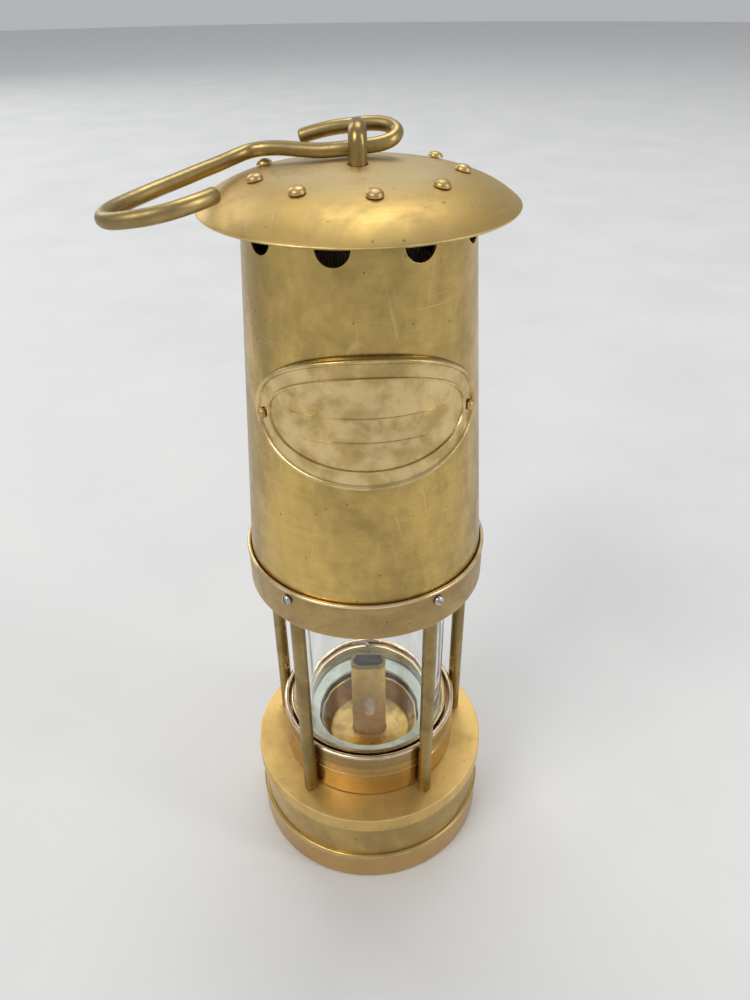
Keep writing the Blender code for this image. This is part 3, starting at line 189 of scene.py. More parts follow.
def arc(centre: Point2, radius: float, start: float, end: float, count: int) -> list[Point2]:
    """Points on an arc between two angles in degrees, for a profile."""
    angles = [math.radians(start + (end - start) * i / (count - 1)) for i in range(count)]
    return [(centre[0] + radius * math.cos(a), centre[1] + radius * math.sin(a)) for a in angles]


# ---------------------------------------------------------------- shapes

class Shape:
    """A mesh in the making, worked with bmesh operators.

    A float layer on its points is 1 along the crest of each bevelled corner, where a finish paints rubbed wear
    and a thin painted highlight.
    """

    def __init__(self) -> None:
        """Start empty."""
        self.bm = bmesh.new()
        self.wear_and_glint = self.bm.verts.layers.float.new("wear_and_glint")

    @classmethod
    def turned(cls, profile: Sequence[Point2], closed: bool, steps: int = ROUND) -> "Shape":
        """Turn a profile about Z.

        Args:
            profile: (radius, height) points down the outer side.
            closed: whether the profile is the section of a ring; otherwise it starts and ends on the axis.
            steps: facets round the axis.

        Returns:
            The turned shape, closed and with its faces outwards.
        """
        shape = cls()
        verts = [shape.bm.verts.new((radius, 0.0, height)) for radius, height in profile]
        edges = [shape.bm.edges.new(pair) for pair in zip(verts, verts[1:])]
        if closed:
            edges.append(shape.bm.edges.new((verts[-1], verts[0])))
        bmesh.ops.spin(shape.bm, geom=verts + edges, cent=(0, 0, 0), axis=(0, 0, 1), angle=math.tau,
                       steps=steps, use_merge=True)
        return shape.closed()

    @classmethod
    def ring(cls, bore: float, radius: float, bottom: float, top: float, steps: int = ROUND) -> "Shape":
        """A plain ring of square section."""
        return cls.turned([(bore, top), (radius, top), (radius, bottom), (bore, bottom)], closed=True,
                          steps=steps)

    @classmethod
    def cylinder(cls, radius: float, length: float, place: Matrix, steps: int = SMALL_ROUND) -> "Shape":
        """A cylinder, centred at a matrix along its Z."""
        shape = cls()
        bmesh.ops.create_cone(shape.bm, cap_ends=True, segments=steps, radius1=radius, radius2=radius,
                              depth=length, matrix=place)
        return shape

    @classmethod
    def post(cls, radius: float, bottom: float, top: float, place: Matrix, steps: int) -> "Shape":
        """An upright cylinder between two heights above a matrix."""
        return cls.cylinder(radius, top - bottom, place @ raised((bottom + top) / 2), steps)

    @classmethod
    def block(cls, size: Sequence[float], place: Matrix) -> "Shape":
        """A block of a size, centred at a matrix."""
        shape = cls()
        bmesh.ops.create_cube(shape.bm, size=1.0, matrix=place @ Matrix.Diagonal((*size, 1.0)))
        return shape

    @classmethod
    def obround(cls, width: float, depth: float, bottom: float, top: float, layers: int = 1,
                steps: int = 58) -> "Shape":
        """An upright flat-sided bar with round ends.

        Args:
            width: size along X.
            depth: size along Y.
            bottom: lower end.
            top: upper end.
            layers: lengths that the bar is built up in.
            steps: points in its two round ends, an odd multiple of two.

        Returns:
            The closed bar.
        """
        shape = cls()
        made = bmesh.ops.create_circle(shape.bm, cap_ends=True, segments=steps, radius=depth / 2,
                                       matrix=Matrix.Translation((0, 0, bottom)))
        reach = (width - depth) / 2
        for side in (-1, 1):
            half = [v for v in made["verts"] if v.co.x * side > 0]
            bmesh.ops.translate(shape.bm, verts=half, vec=(side * reach, 0, 0))
        faces = list(shape.bm.faces)
        for layer in range(layers):
            before = faces
            _, faces = shape.lifted(before, (top - bottom) / layers)
            if layer:
                bmesh.ops.delete(shape.bm, geom=before, context="FACES_ONLY")
        return shape.closed()

    @classmethod
    def swept(cls, line: Sequence[Vector], radius: float, steps: int = 24,
              swell: Callable[[float], float] | None = None) -> "Shape":
        """A round rod along a line of points.

        Args:
            line: the rod's middle line.
            radius: the rod's radius.
            steps: facets round the rod.
            swell: share of the radius at each share of the length, where it varies.

        Returns:
            The closed rod.
        """
        shape = cls()
        count = len(line)
        ways = [(line[min(i + 1, count - 1)] - line[max(i - 1, 0)]).normalized() for i in range(count)]
        turn = ways[0].to_track_quat("Z", "Y")
        frames = []
        for i, way in enumerate(ways):
            if i:
                turn = ways[i - 1].rotation_difference(way) @ turn
            size = radius * (swell(i / (count - 1)) if swell else 1.0)
            frames.append(Matrix.Translation(line[i]) @ turn.to_matrix().to_4x4()
                          @ Matrix.Diagonal((size, size, size, 1.0)))
        made = bmesh.ops.create_circle(shape.bm, cap_ends=True, segments=steps, radius=1.0, matrix=frames[0])
        ring = list({e for v in made["verts"] for e in v.link_edges})
        for before, after in zip(frames, frames[1:]):
            _, ring = shape.drawn(ring, after @ before.inverted())
        bmesh.ops.edgeloop_fill(shape.bm, edges=ring)
        return shape.closed()

    def drawn(self, ring: list[bmesh.types.BMEdge], change: Matrix) -> tuple[list, list]:
        """Extrude a ring of edges and move the new points by a matrix.

        Args:
            ring: the edges.
            change: the matrix.

        Returns:
            The new points and the new ring.
        """
        grown = bmesh.ops.extrude_edge_only(self.bm, edges=ring)["geom"]
        points = [v for v in grown if isinstance(v, bmesh.types.BMVert)]
        bmesh.ops.transform(self.bm, matrix=change, verts=points)
        return points, [e for e in grown if isinstance(e, bmesh.types.BMEdge)]

    def lifted(self, faces: list[bmesh.types.BMFace], height: float) -> tuple[list, list]:
        """Extrude faces straight up.

        Args:
            faces: the faces.
            height: how far they rise.

        Returns:
            The new points and the new faces.
        """
        grown = bmesh.ops.extrude_face_region(self.bm, geom=faces)["geom"]
        points = [v for v in grown if isinstance(v, bmesh.types.BMVert)]
        bmesh.ops.translate(self.bm, verts=points, vec=(0, 0, height))
        return points, [f for f in grown if isinstance(f, bmesh.types.BMFace)]

    def rubbed_and_glinting(self, amount: float, where: Callable[[Vector], bool]) -> "Shape":
        """Mark the points that pass a test, by an amount, for rubbed wear and a painted highlight."""
        for vert in self.bm.verts:
            if where(vert.co):
                vert[self.wear_and_glint] = amount
        return self

    def closed(self) -> "Shape":
        """Merge doubles and turn every face outwards."""
        bmesh.ops.remove_doubles(self.bm, verts=self.bm.verts, dist=MERGE)
        bmesh.ops.recalc_face_normals(self.bm, faces=self.bm.faces)
        return self

    def moved(self, matrix: Matrix) -> "Shape":
        """Move every point by a matrix."""
        bmesh.ops.transform(self.bm, matrix=matrix, verts=self.bm.verts)
        return self

    def joined(self, other: "Shape") -> "Shape":
        """Take in another shape's faces as they are."""
        mesh = bpy.data.meshes.new("part")
        other.bm.to_mesh(mesh)
        other.bm.free()
        self.bm.from_mesh(mesh)
        bpy.data.meshes.remove(mesh)
        return self

    def bevelled(self, width: float, corner: float = 28.0,
                 where: Callable[[bmesh.types.BMEdge], bool] | None = None) -> "Shape":
        """Round the convex corners and mark their crests for rubbed wear and a painted highlight line.

        Args:
            width: width of the rounding.
            corner: least angle between faces that counts as a corner, in degrees.
            where: a further test that an edge has to pass.

        Returns:
            The same shape.
        """
        limit = math.radians(corner)
        edges = [e for e in self.bm.edges if len(e.link_faces) == 2 and e.calc_face_angle(0.0) > limit
                 and e.is_convex and (where is None or where(e))]
        made = bmesh.ops.bevel(self.bm, geom=edges, offset=width, offset_type="OFFSET", segments=2,
                               profile=0.5, affect="EDGES", clamp_overlap=True, material=-1)
        fresh = set(made["faces"])
        for vert in {v for f in fresh for v in f.verts}:
            if all(f in fresh for f in vert.link_faces):
                vert[self.wear_and_glint] = 1.0
        return self

    def combined(self, tools: Iterable["Shape"], operation: str = "DIFFERENCE") -> "Shape":
        """Cut by, or join with, other shapes.

        Args:
            tools: the other shapes, which are used up.
            operation: DIFFERENCE, UNION or INTERSECT.

        Returns:
            The same shape.
        """
        scene = bpy.context.scene.collection.objects
        base = self._lent("base")
        lent = [base]
        for tool in tools:
            lent.append(tool._lent("tool"))
            cut = base.modifiers.new("cut", "BOOLEAN")
            cut.operation = operation
            cut.solver = "EXACT"
            cut.object = lent[-1]
        for obj in lent:
            scene.link(obj)
        bpy.context.view_layer.update()
        mesh = bpy.data.meshes.new_from_object(base.evaluated_get(bpy.context.evaluated_depsgraph_get()))
        for obj in lent:
            data = obj.data
            bpy.data.objects.remove(obj, do_unlink=True)
            bpy.data.meshes.remove(data)
        self.bm = bmesh.new()
        self.bm.from_mesh(mesh)
        bpy.data.meshes.remove(mesh)
        self.wear_and_glint = self.bm.verts.layers.float.get("wear_and_glint") or self.bm.verts.layers.float.new("wear_and_glint")
        bmesh.ops.remove_doubles(self.bm, verts=self.bm.verts, dist=MERGE)
        return self

    def _lent(self, name: str) -> bpy.types.Object:
        """The shape as a passing object for a modifier, which uses it up."""
        mesh = bpy.data.meshes.new(name)
        self.bm.to_mesh(mesh)
        self.bm.free()
        return bpy.data.objects.new(name, mesh)

    def piece(self, name: str, finish: bpy.types.Material, body: Body, slot: Slot,
              stands_for: Sequence[str] = (), crisp: float = 32.0) -> bpy.types.Object:
        """Finish the shape as a piece of the lamp.

        Args:
            name: the piece's name.
            finish: its material.
            body: the body that it rides on.
            slot: the record's slot for its finish; not used.
            stands_for: the frame's nodes that it replaces.
            crisp: angle in degrees past which a corner stays sharp.

        Returns:
            The object, at the origin.
        """
        mesh = bpy.data.meshes.new(name)
        self.bm.to_mesh(mesh)
        self.bm.free()
        mesh.shade_smooth()
        mesh.set_sharp_from_angle(angle=math.radians(crisp))
        mesh.materials.append(finish)
        obj = bpy.data.objects.new(name, mesh)
        bpy.context.scene.collection.objects.link(obj)
        flats = obj.modifiers.new("true_flats", "WEIGHTED_NORMAL")
        flats.keep_sharp = True
        flats.weight = 90
        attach(obj, body.value)
        if stands_for:
            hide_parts(*stands_for)
        log.info("%-20s %6d faces on %s", name, len(mesh.polygons), body.value)
        return obj


# ---------------------------------------------------------------- node groups

class Tree:
    """Adds and joins nodes in a material's or a group's tree."""

    def __init__(self, tree: bpy.types.NodeTree) -> None:
        """Work on a tree."""
        self.tree = tree

    def add(self, kind: str, inputs: dict | None = None, **settings: object) -> bpy.types.Node:
        """Add a node.

        Args:
            kind: the node's type, without its ShaderNode prefix.
            inputs: values or sockets for its inputs, by name or number.
            settings: properties of the node.

        Returns:
            The node.
        """
        node = self.tree.nodes.new("ShaderNode" + kind)
        for key, value in settings.items():
            setattr(node, key, value)
        for key, value in (inputs or {}).items():
            if isinstance(value, bpy.types.NodeSocket):
                self.tree.links.new(value, node.inputs[key])
            elif isinstance(value, tuple) and len(value) == 3 and node.inputs[key].type == "RGBA":
                node.inputs[key].default_value = (*value, 1.0)
            else:
                node.inputs[key].default_value = value
        return node

    def maths(self, operation: str, a: object, b: object = 0.0, c: object = 0.0,
              clamp: bool = False) -> bpy.types.NodeSocket:
        """The result of a Math node."""
        return self.add("Math", {0: a, 1: b, 2: c}, operation=operation, use_clamp=clamp).outputs[0]

    def plus(self, a: object, b: object, clamp: bool = False) -> bpy.types.NodeSocket:
        """The sum of two values."""
        return self.maths("ADD", a, b, clamp=clamp)

    def minus(self, a: object, b: object, clamp: bool = False) -> bpy.types.NodeSocket:
        """The difference of two values."""
        return self.maths("SUBTRACT", a, b, clamp=clamp)

    def times(self, a: object, b: object, clamp: bool = False) -> bpy.types.NodeSocket:
        """The product of two values."""
        return self.maths("MULTIPLY", a, b, clamp=clamp)

    def link(self, source: bpy.types.NodeSocket, target: bpy.types.NodeSocket) -> None:
        """Join two sockets."""
        self.tree.links.new(source, target)

    def group(self, shared: bpy.types.NodeTree, inputs: dict | None = None) -> bpy.types.Node:
        """Place a shared group with its own values."""
        node = self.tree.nodes.new("ShaderNodeGroup")
        node.node_tree = shared
        for key, value in (inputs or {}).items():
            node.inputs[key].default_value = (*value, 1.0) if isinstance(value, tuple) else value
        return node

    def dress(self, shader: bpy.types.Node, colour: bpy.types.NodeSocket, rough: bpy.types.NodeSocket,
              height: bpy.types.NodeSocket, strength: float, distance: float) -> None:
        """Feed a shader.

        Args:
            shader: the main shader.
            colour: its colour.
            rough: its roughness.
            height: the relief.
            strength: how strongly the relief shows.
            distance: depth of the relief.
        """
        bump = self.add("Bump", {"Height": height, "Strength": strength, "Distance": distance})
        self.link(colour, shader.inputs["Base Color"])
        self.link(rough, shader.inputs["Roughness"])
        self.link(bump.outputs[0], shader.inputs["Normal"])

    def ramp(self, value: object, start: object, end: object, to_start: object = 0.0,
             to_end: object = 1.0) -> bpy.types.NodeSocket:
        """A value eased from one range to another."""
        return self.add("MapRange", {0: value, 1: start, 2: end, 3: to_start, 4: to_end},
                        interpolation_type="SMOOTHSTEP").outputs[0]

    def blend(self, share: object, a: object, b: object, mode: str = "MIX") -> bpy.types.NodeSocket:
        """A colour between two colours."""
        node = self.add("Mix", {0: share, 6: a, 7: b}, data_type="RGBA", blend_type=mode)
        return node.outputs[2]

    def noise(self, vector: object, scale: object, detail: float = 4.0, rough: float = 0.55,
              distortion: float = 0.0) -> bpy.types.NodeSocket:
        """A noise value."""
        return self.add("TexNoise", {"Vector": vector, "Scale": scale, "Detail": detail, "Roughness": rough,
                                     "Distortion": distortion}).outputs[0]

    def place(self) -> bpy.types.NodeSocket:
        """Object coordinates."""
        return self.add("TexCoord").outputs["Object"]


class Groups:
    """The effects that several finishes share, each built once."""

    def __init__(self) -> None:
        """Build them all."""
        self.patina_and_reflection_streaks = self._patina_and_reflection_streaks()
        self.turning = self._turning()
        self.scratches = self._scratches()
        self.specks = self._specks()
        self.wear_and_glint = self._wear_and_glint()
        self.level = self._level()
        self.wires = self._wires()
        self.weave = self._weave()

    @staticmethod
    def _start(name: str, inputs: Sequence[tuple[str, str, object]],
               outputs: Sequence[tuple[str, str]]) -> tuple[Tree, bpy.types.Node, bpy.types.Node]:
        """Open a group.

        Args:
            name: the group's name.
            inputs: name, kind and starting value of each input.
            outputs: name and kind of each output.

        Returns:
            The tree with its input and output nodes.
        """
        tree = bpy.data.node_groups.new(name, "ShaderNodeTree")
        for label, kind, value in inputs:
            socket = tree.interface.new_socket(name=label, in_out="INPUT", socket_type="NodeSocket" + kind)
            socket.default_value = value
        for label, kind in outputs:
            tree.interface.new_socket(name=label, in_out="OUTPUT", socket_type="NodeSocket" + kind)
        return Tree(tree), tree.nodes.new("NodeGroupInput"), tree.nodes.new("NodeGroupOutput")

    def _patina_and_reflection_streaks(self) -> bpy.types.NodeTree:
        """Cloudy tarnish over a clean metal colour; stretched up and down, it paints vertical reflection
        streaks too.
        """
        t, i, o = self._start("cloudy_patina_and_reflection_streaks", [("Clean", "Color", (1, 1, 1, 1)),
                                                ("Tarnish", "Color", (0, 0, 0, 1)), ("Scale", "Float", 30.0),
                                                ("Cover", "Float", 0.5), ("Upright", "Float", 1.0)],
                              [("Color", "Color"), ("Mask", "Float")])
        stretch = t.add("CombineXYZ", {0: 1.0, 1: 1.0, 2: i.outputs["Upright"]}).outputs[0]
        drawn = t.add("VectorMath", {0: t.place(), 1: stretch}, operation="MULTIPLY").outputs[0]
        broad = t.noise(drawn, i.outputs["Scale"], 5.0, 0.62, 0.6)
        fine = t.noise(t.place(), t.times(i.outputs["Scale"], 7.0), 4.0, 0.6)
        both = t.plus(t.times(broad, 0.78), t.times(fine, 0.22))
        edge = t.minus(0.72, t.times(i.outputs["Cover"], 0.42))
        mask = t.ramp(both, t.minus(edge, 0.14), t.plus(edge, 0.14))
        t.link(t.blend(mask, i.outputs["Clean"], i.outputs["Tarnish"]), o.inputs["Color"])
        t.link(mask, o.inputs["Mask"])
        return t.tree

    def _turning(self) -> bpy.types.NodeTree:
        """Fine lines left by the lathe, which run round the lamp's axis on walls and flats alike."""
        t, i, o = self._start("turning_lines", [("Density", "Float", 1500.0), ("Centre X", "Float", 0.0),
                                                ("Centre Y", "Float", 0.0)], [("Lines", "Float")])
        split = t.add("SeparateXYZ", {0: t.place()})
        x = t.minus(split.outputs[0], i.outputs["Centre X"])
        y = t.minus(split.outputs[1], i.outputs["Centre Y"])
        radius = t.maths("SQRT", t.plus(t.times(x, x), t.times(y, y)))
        turn = t.maths("ARCTAN2", y, x)
        across = t.add("CombineXYZ", {0: t.times(radius, i.outputs["Density"]),
                                      1: t.times(split.outputs[2], i.outputs["Density"]),
                                      2: t.times(turn, 1.3)}).outputs[0]
        t.link(t.noise(across, 1.0, 3.0, 0.7), o.inputs["Lines"])
        return t.tree

    def _scratches(self) -> bpy.types.NodeTree:
        """Sparse handling scratches in three directions."""
        t, i, o = self._start("handling_scratches", [("Scale", "Float", 60.0), ("Amount", "Float", 0.5)],
                              [("Mask", "Float")])
        total = None
        for turn, stretch in (((0.4, 0.7, 0.2), (60.0, 0.8, 1.0)), ((1.3, 0.2, 1.9), (0.9, 70.0, 1.1)),
                              ((0.12, 0.08, 0.5), (0.8, 1.0, 80.0))):
            spun = t.add("Mapping", {"Vector": t.place(), "Rotation": turn, "Scale": stretch}).outputs[0]
            line = t.noise(spun, i.outputs["Scale"], 2.0, 0.5, 0.25)
            edge = t.minus(0.76, t.times(i.outputs["Amount"], 0.12))
            one = t.ramp(line, edge, t.plus(edge, 0.05))
            total = one if total is None else t.maths("MAXIMUM", total, one)
        t.link(total, o.inputs["Mask"])
        return t.tree

    def _specks(self) -> bpy.types.NodeTree:
        """Small scattered spots of uneven size."""
        t, i, o = self._start("scattered_specks", [("Scale", "Float", 500.0), ("Amount", "Float", 0.3)],
                              [("Mask", "Float")])
        wobble = t.noise(t.place(), 900.0, 2.0)
        cells = t.add("TexVoronoi", {"Vector": t.place(), "Scale": i.outputs["Scale"]})
        pick = t.add("SeparateColor", {0: cells.outputs["Color"]}).outputs[0]
        size = t.ramp(pick, t.minus(1.0, i.outputs["Amount"]), 1.0, 0.0, 0.42)
        reach = t.plus(cells.outputs["Distance"], t.times(wobble, 0.15))
        t.link(t.ramp(t.minus(size, reach), -0.05, 0.08), o.inputs["Mask"])
        return t.tree

    def _wear_and_glint(self) -> bpy.types.NodeTree:
        """Bright crests, broken up along their length: rubbed wear and a painted highlight line."""
        t, i, o = self._start("rubbed_and_glinting_edges", [("Amount", "Float", 0.8)], [("Mask", "Float")])
        crest = t.add("Attribute", attribute_name="wear_and_glint").outputs["Fac"]
        broken = t.ramp(t.noise(t.place(), 140.0, 3.0), 0.32, 0.62, 0.35, 1.0)
        t.link(t.times(t.times(crest, broken), i.outputs["Amount"], clamp=True),
                         o.inputs["Mask"])
        return t.tree

    def _level(self) -> bpy.types.NodeTree:
        """A band between two heights with a soft, wandering edge."""
        t, i, o = self._start("height_band", [("Low", "Float", 0.0), ("High", "Float", 1.0),
                                              ("Soft", "Float", 0.004)], [("Mask", "Float")])
        height = t.add("SeparateXYZ", {0: t.place()}).outputs[2]
        drift = t.times(t.minus(t.noise(t.place(), 60.0, 3.0), 0.5), i.outputs["Soft"])
        level = t.plus(height, t.times(drift, 2.0))
        rise = t.ramp(level, t.minus(i.outputs["Low"], i.outputs["Soft"]),
                      t.plus(i.outputs["Low"], i.outputs["Soft"]))
        fall = t.ramp(level, t.minus(i.outputs["High"], i.outputs["Soft"]),
                      t.plus(i.outputs["High"], i.outputs["Soft"]), 1.0, 0.0)
        t.link(t.times(rise, fall), o.inputs["Mask"])
        return t.tree

    def _wires(self) -> bpy.types.NodeTree:
        """Woven wire cloth on a thimble: wires round it and up it, with holes between."""
        t, i, o = self._start("woven_wires", [("Pitch", "Float", 0.0009), ("Radius", "Float", 0.02),
                                              ("Top", "Float", 0.2)], [("Solid", "Float"), ("Height", "Float")])
        split = t.add("SeparateXYZ", {0: t.place()})
        x, y, z = split.outputs
        turn = t.times(t.maths("ARCTAN2", y, x), i.outputs["Radius"])
        flat = t.ramp(z, t.minus(i.outputs["Top"], 0.0012), t.minus(i.outputs["Top"], 0.0010))
        across = t.add("Mix", {0: flat, 2: turn, 3: x}, data_type="FLOAT").outputs[0]
        along = t.add("Mix", {0: flat, 2: z, 3: y}, data_type="FLOAT").outputs[0]
        rate = t.maths("DIVIDE", math.tau, i.outputs["Pitch"])
        warp = t.maths("ABSOLUTE", t.maths("SINE", t.times(t.times(across, rate), 0.5)))
        weft = t.maths("ABSOLUTE", t.maths("SINE", t.times(t.times(along, rate), 0.5)))
        body = t.maths("MAXIMUM", warp, weft)
        t.link(t.ramp(body, 0.80, 0.90), o.inputs["Solid"])
        t.link(body, o.inputs["Height"])
        return t.tree

    def _weave(self) -> bpy.types.NodeTree:
        """Plaited cotton: slanting strands that cross, with loose fibres."""
        t, i, o = self._start("plaited_cotton", [("Pitch", "Float", 0.0011)],
                              [("Height", "Float"), ("Fibre", "Float")])
        split = t.add("SeparateXYZ", {0: t.place()})
        x, y, z = split.outputs
        side = t.plus(x, y)
        rate = t.maths("DIVIDE", math.tau, i.outputs["Pitch"])
        one = t.maths("SINE", t.times(t.plus(side, z), rate))
        two = t.maths("SINE", t.times(t.minus(side, z), rate))
        plait = t.maths("MULTIPLY_ADD", t.maths("MAXIMUM", one, two), 0.5, 0.5)
        fibre = t.noise(t.place(), 2400.0, 4.0, 0.7)
        t.link(t.plus(t.times(plait, 0.75), t.times(fibre, 0.25)),
                         o.inputs["Height"])
        t.link(fibre, o.inputs["Fibre"])
        return t.tree


# ---------------------------------------------------------------- finishes

def new_material(name: str) -> tuple[bpy.types.Material, Tree, bpy.types.Node]:
    """A material with its tree and its main shader."""
    material = bpy.data.materials.new(name)
    material.use_nodes = True
    return material, Tree(material.node_tree), material.node_tree.nodes["Principled BSDF"]


@dataclass(frozen=True)
class MetalFinish:
    """An aged metal: cloudy tarnish, lathe lines, scratches, spots, and bright crests of rubbed wear and
    painted highlight.
    """

    name: str
    clean: Colour
    tarnish: Colour
    bright: Colour
    smooth: float = 0.27            # roughness of the clean metal
    dull: float = 0.42              # roughness of the tarnish
    cloud: float = 34.0             # scale of the tarnish
    cover: float = 0.5
    # Below 1 the clouds also serve as painted vertical reflection streaks, as on the bonnet.
    upright: float = 1.0            # below 1, the clouds run up and down
    line_density: float = 1500.0
    line_depth: float = 0.000006
    line_tint: float = 0.16
    scratch_scale: float = 60.0
    scratch_amount: float = 0.4
    speck_scale: float = 1000.0
    speck_amount: float = 0.03
    speck: Colour = (0.10, 0.065, 0.03)
    dent: float = 0.00025           # depth of the broad unevenness
    # strength of the crests' rubbed wear and painted highlight
    rub_and_glint: float = 0.8
    centre: Point2 = (0.0, 0.0)
    bands: tuple[tuple[float, float, float, Colour, float], ...] = ()   # low, high, soft, colour, share

    def material(self, groups: Groups) -> bpy.types.Material:
        """Build the material.

        Args:
            groups: the shared node groups.

        Returns:
            The finished material.
        """
        material, t, shader = new_material(self.name)
        patina_and_reflection_streaks = t.group(groups.patina_and_reflection_streaks, {"Clean": self.clean, "Tarnish": self.tarnish, "Scale": self.cloud,
                                         "Cover": self.cover, "Upright": self.upright})
        lines = t.group(groups.turning, {"Density": self.line_density, "Centre X": self.centre[0],
                                         "Centre Y": self.centre[1]}).outputs[0]
        scratch = t.group(groups.scratches, {"Scale": self.scratch_scale,
                                             "Amount": self.scratch_amount}).outputs[0]
        specks = t.group(groups.specks, {"Scale": self.speck_scale, "Amount": self.speck_amount}).outputs[0]
        worn_and_glinting = t.group(groups.wear_and_glint, {"Amount": self.rub_and_glint}).outputs[0]
        colour = patina_and_reflection_streaks.outputs["Color"]
        for start, end, soft, tint, share in self.bands:
            level = t.group(groups.level, {"Low": start, "High": end, "Soft": soft}).outputs[0]
            colour = t.blend(t.times(level, share), colour, tint)
        dark_line = t.ramp(lines, 0.30, 0.62, self.line_tint, 0.0)
        colour = t.blend(dark_line, colour, self.tarnish)
        colour = t.blend(t.times(scratch, 0.30), colour, self.bright)
        colour = t.blend(t.times(specks, 0.6), colour, self.speck)
        # crests painted bright: rubbed wear and a painted highlight line
        colour = t.blend(worn_and_glinting, colour, self.bright)
        rough = t.maths("MULTIPLY_ADD", patina_and_reflection_streaks.outputs["Mask"], self.dull - self.smooth, self.smooth)
        rough = t.plus(rough, t.times(t.minus(lines, 0.5), 0.16))
        rough = t.plus(rough, t.times(specks, 0.25))
        rough = t.minus(rough, t.times(worn_and_glinting, 0.10), clamp=True)
        relief = t.times(lines, self.line_depth)
        relief = t.minus(relief, t.times(scratch, 0.000004))
        relief = t.plus(relief, t.times(t.noise(t.place(), 22.0, 2.0), self.dent))
        relief = t.minus(relief, t.times(specks, 0.000010))
        t.dress(shader, colour, rough, relief, 1.0, 1.0)
        shader.inputs["Metallic"].default_value = 1.0
        return material


@dataclass(frozen=True)
class SoftFinish:
    """A dull non-metal: cloudy colour, fibres or grain and a stain band."""

    name: str
    light: Colour
    dark: Colour
    rough: float = 0.8
    scale: float = 160.0
    grain_depth: float = 0.00004
    plaited: bool = False
    char: tuple[float, float] | None = None     # heights between which the wick blackens
    sheen: float = 0.0

    def material(self, groups: Groups) -> bpy.types.Material:
        """Build the material."""
        material, t, shader = new_material(self.name)
        cloud = t.noise(t.place(), self.scale, 5.0, 0.6)
        colour = t.blend(t.ramp(cloud, 0.35, 0.65), self.light, self.dark)
        if self.plaited:
            height = t.group(groups.weave).outputs["Height"]
            colour = t.blend(t.ramp(height, 0.25, 0.6, 0.55, 0.0), colour, self.dark)
        else:
            height = t.noise(t.place(), 1500.0, 4.0, 0.65)
        if self.char is not None:
            level = t.add("SeparateXYZ", {0: t.place()}).outputs[2]
            ragged = t.plus(level, t.times(t.noise(t.place(), 500.0, 3.0), 0.0008))
            colour = t.blend(t.ramp(ragged, self.char[0], self.char[1]), colour, (0.018, 0.014, 0.011))
        rough = t.ramp(cloud, 0.2, 0.8, self.rough - 0.08, self.rough + 0.08)
        t.dress(shader, colour, rough, height, 0.8, self.grain_depth)
        shader.inputs["Sheen Weight"].default_value = self.sheen
        return material


@dataclass(frozen=True)
class GlassFinish:
    """Thick lamp glass: clear, with faint smears and ripples. Light for shadows passes straight through."""

    name: str
    tint: Colour

    def material(self) -> bpy.types.Material:
        """Build the material."""
        material, t, shader = new_material(self.name)
        smear = t.noise(t.place(), 45.0, 4.0, 0.6, 1.2)
        ripple = t.noise(t.place(), 30.0, 2.0)
        colour = t.blend(t.ramp(smear, 0.4, 0.7), (1.0, 1.0, 1.0), self.tint)
        t.dress(shader, colour, t.ramp(smear, 0.45, 0.75, 0.004, 0.06), ripple, 0.5, 0.0004)
        shader.inputs["Transmission Weight"].default_value = 1.0
        shader.inputs["IOR"].default_value = 1.47
        shader.inputs["Metallic"].default_value = 0.0
        clear = t.add("BsdfTransparent")
        shadow = t.add("LightPath").outputs["Is Shadow Ray"]
        both = t.add("MixShader", {0: shadow, 1: shader.outputs[0], 2: clear.outputs[0]})
        t.link(both.outputs[0], material.node_tree.nodes["Material Output"].inputs["Surface"])
        return material


@dataclass(frozen=True)
class GauzeFinish:
    """Darkened iron wire cloth with real holes."""

    name: str
    radius: float
    top: float
    pitch: float = 0.0009

    def material(self, groups: Groups) -> bpy.types.Material:
        """Build the material."""
        material, t, shader = new_material(self.name)
        node = t.group(groups.wires, {"Pitch": self.pitch, "Radius": self.radius, "Top": self.top})
        cloud = t.noise(t.place(), 70.0, 5.0, 0.6)
        colour = t.blend(t.ramp(cloud, 0.35, 0.65), (0.10, 0.085, 0.07), (0.22, 0.18, 0.14))
        t.dress(shader, colour, t.ramp(cloud, 0.3, 0.7, 0.45, 0.65), node.outputs["Height"], 1.0, 0.0002)
        t.link(node.outputs["Solid"], shader.inputs["Alpha"])
        shader.inputs["Metallic"].default_value = 1.0
        return material




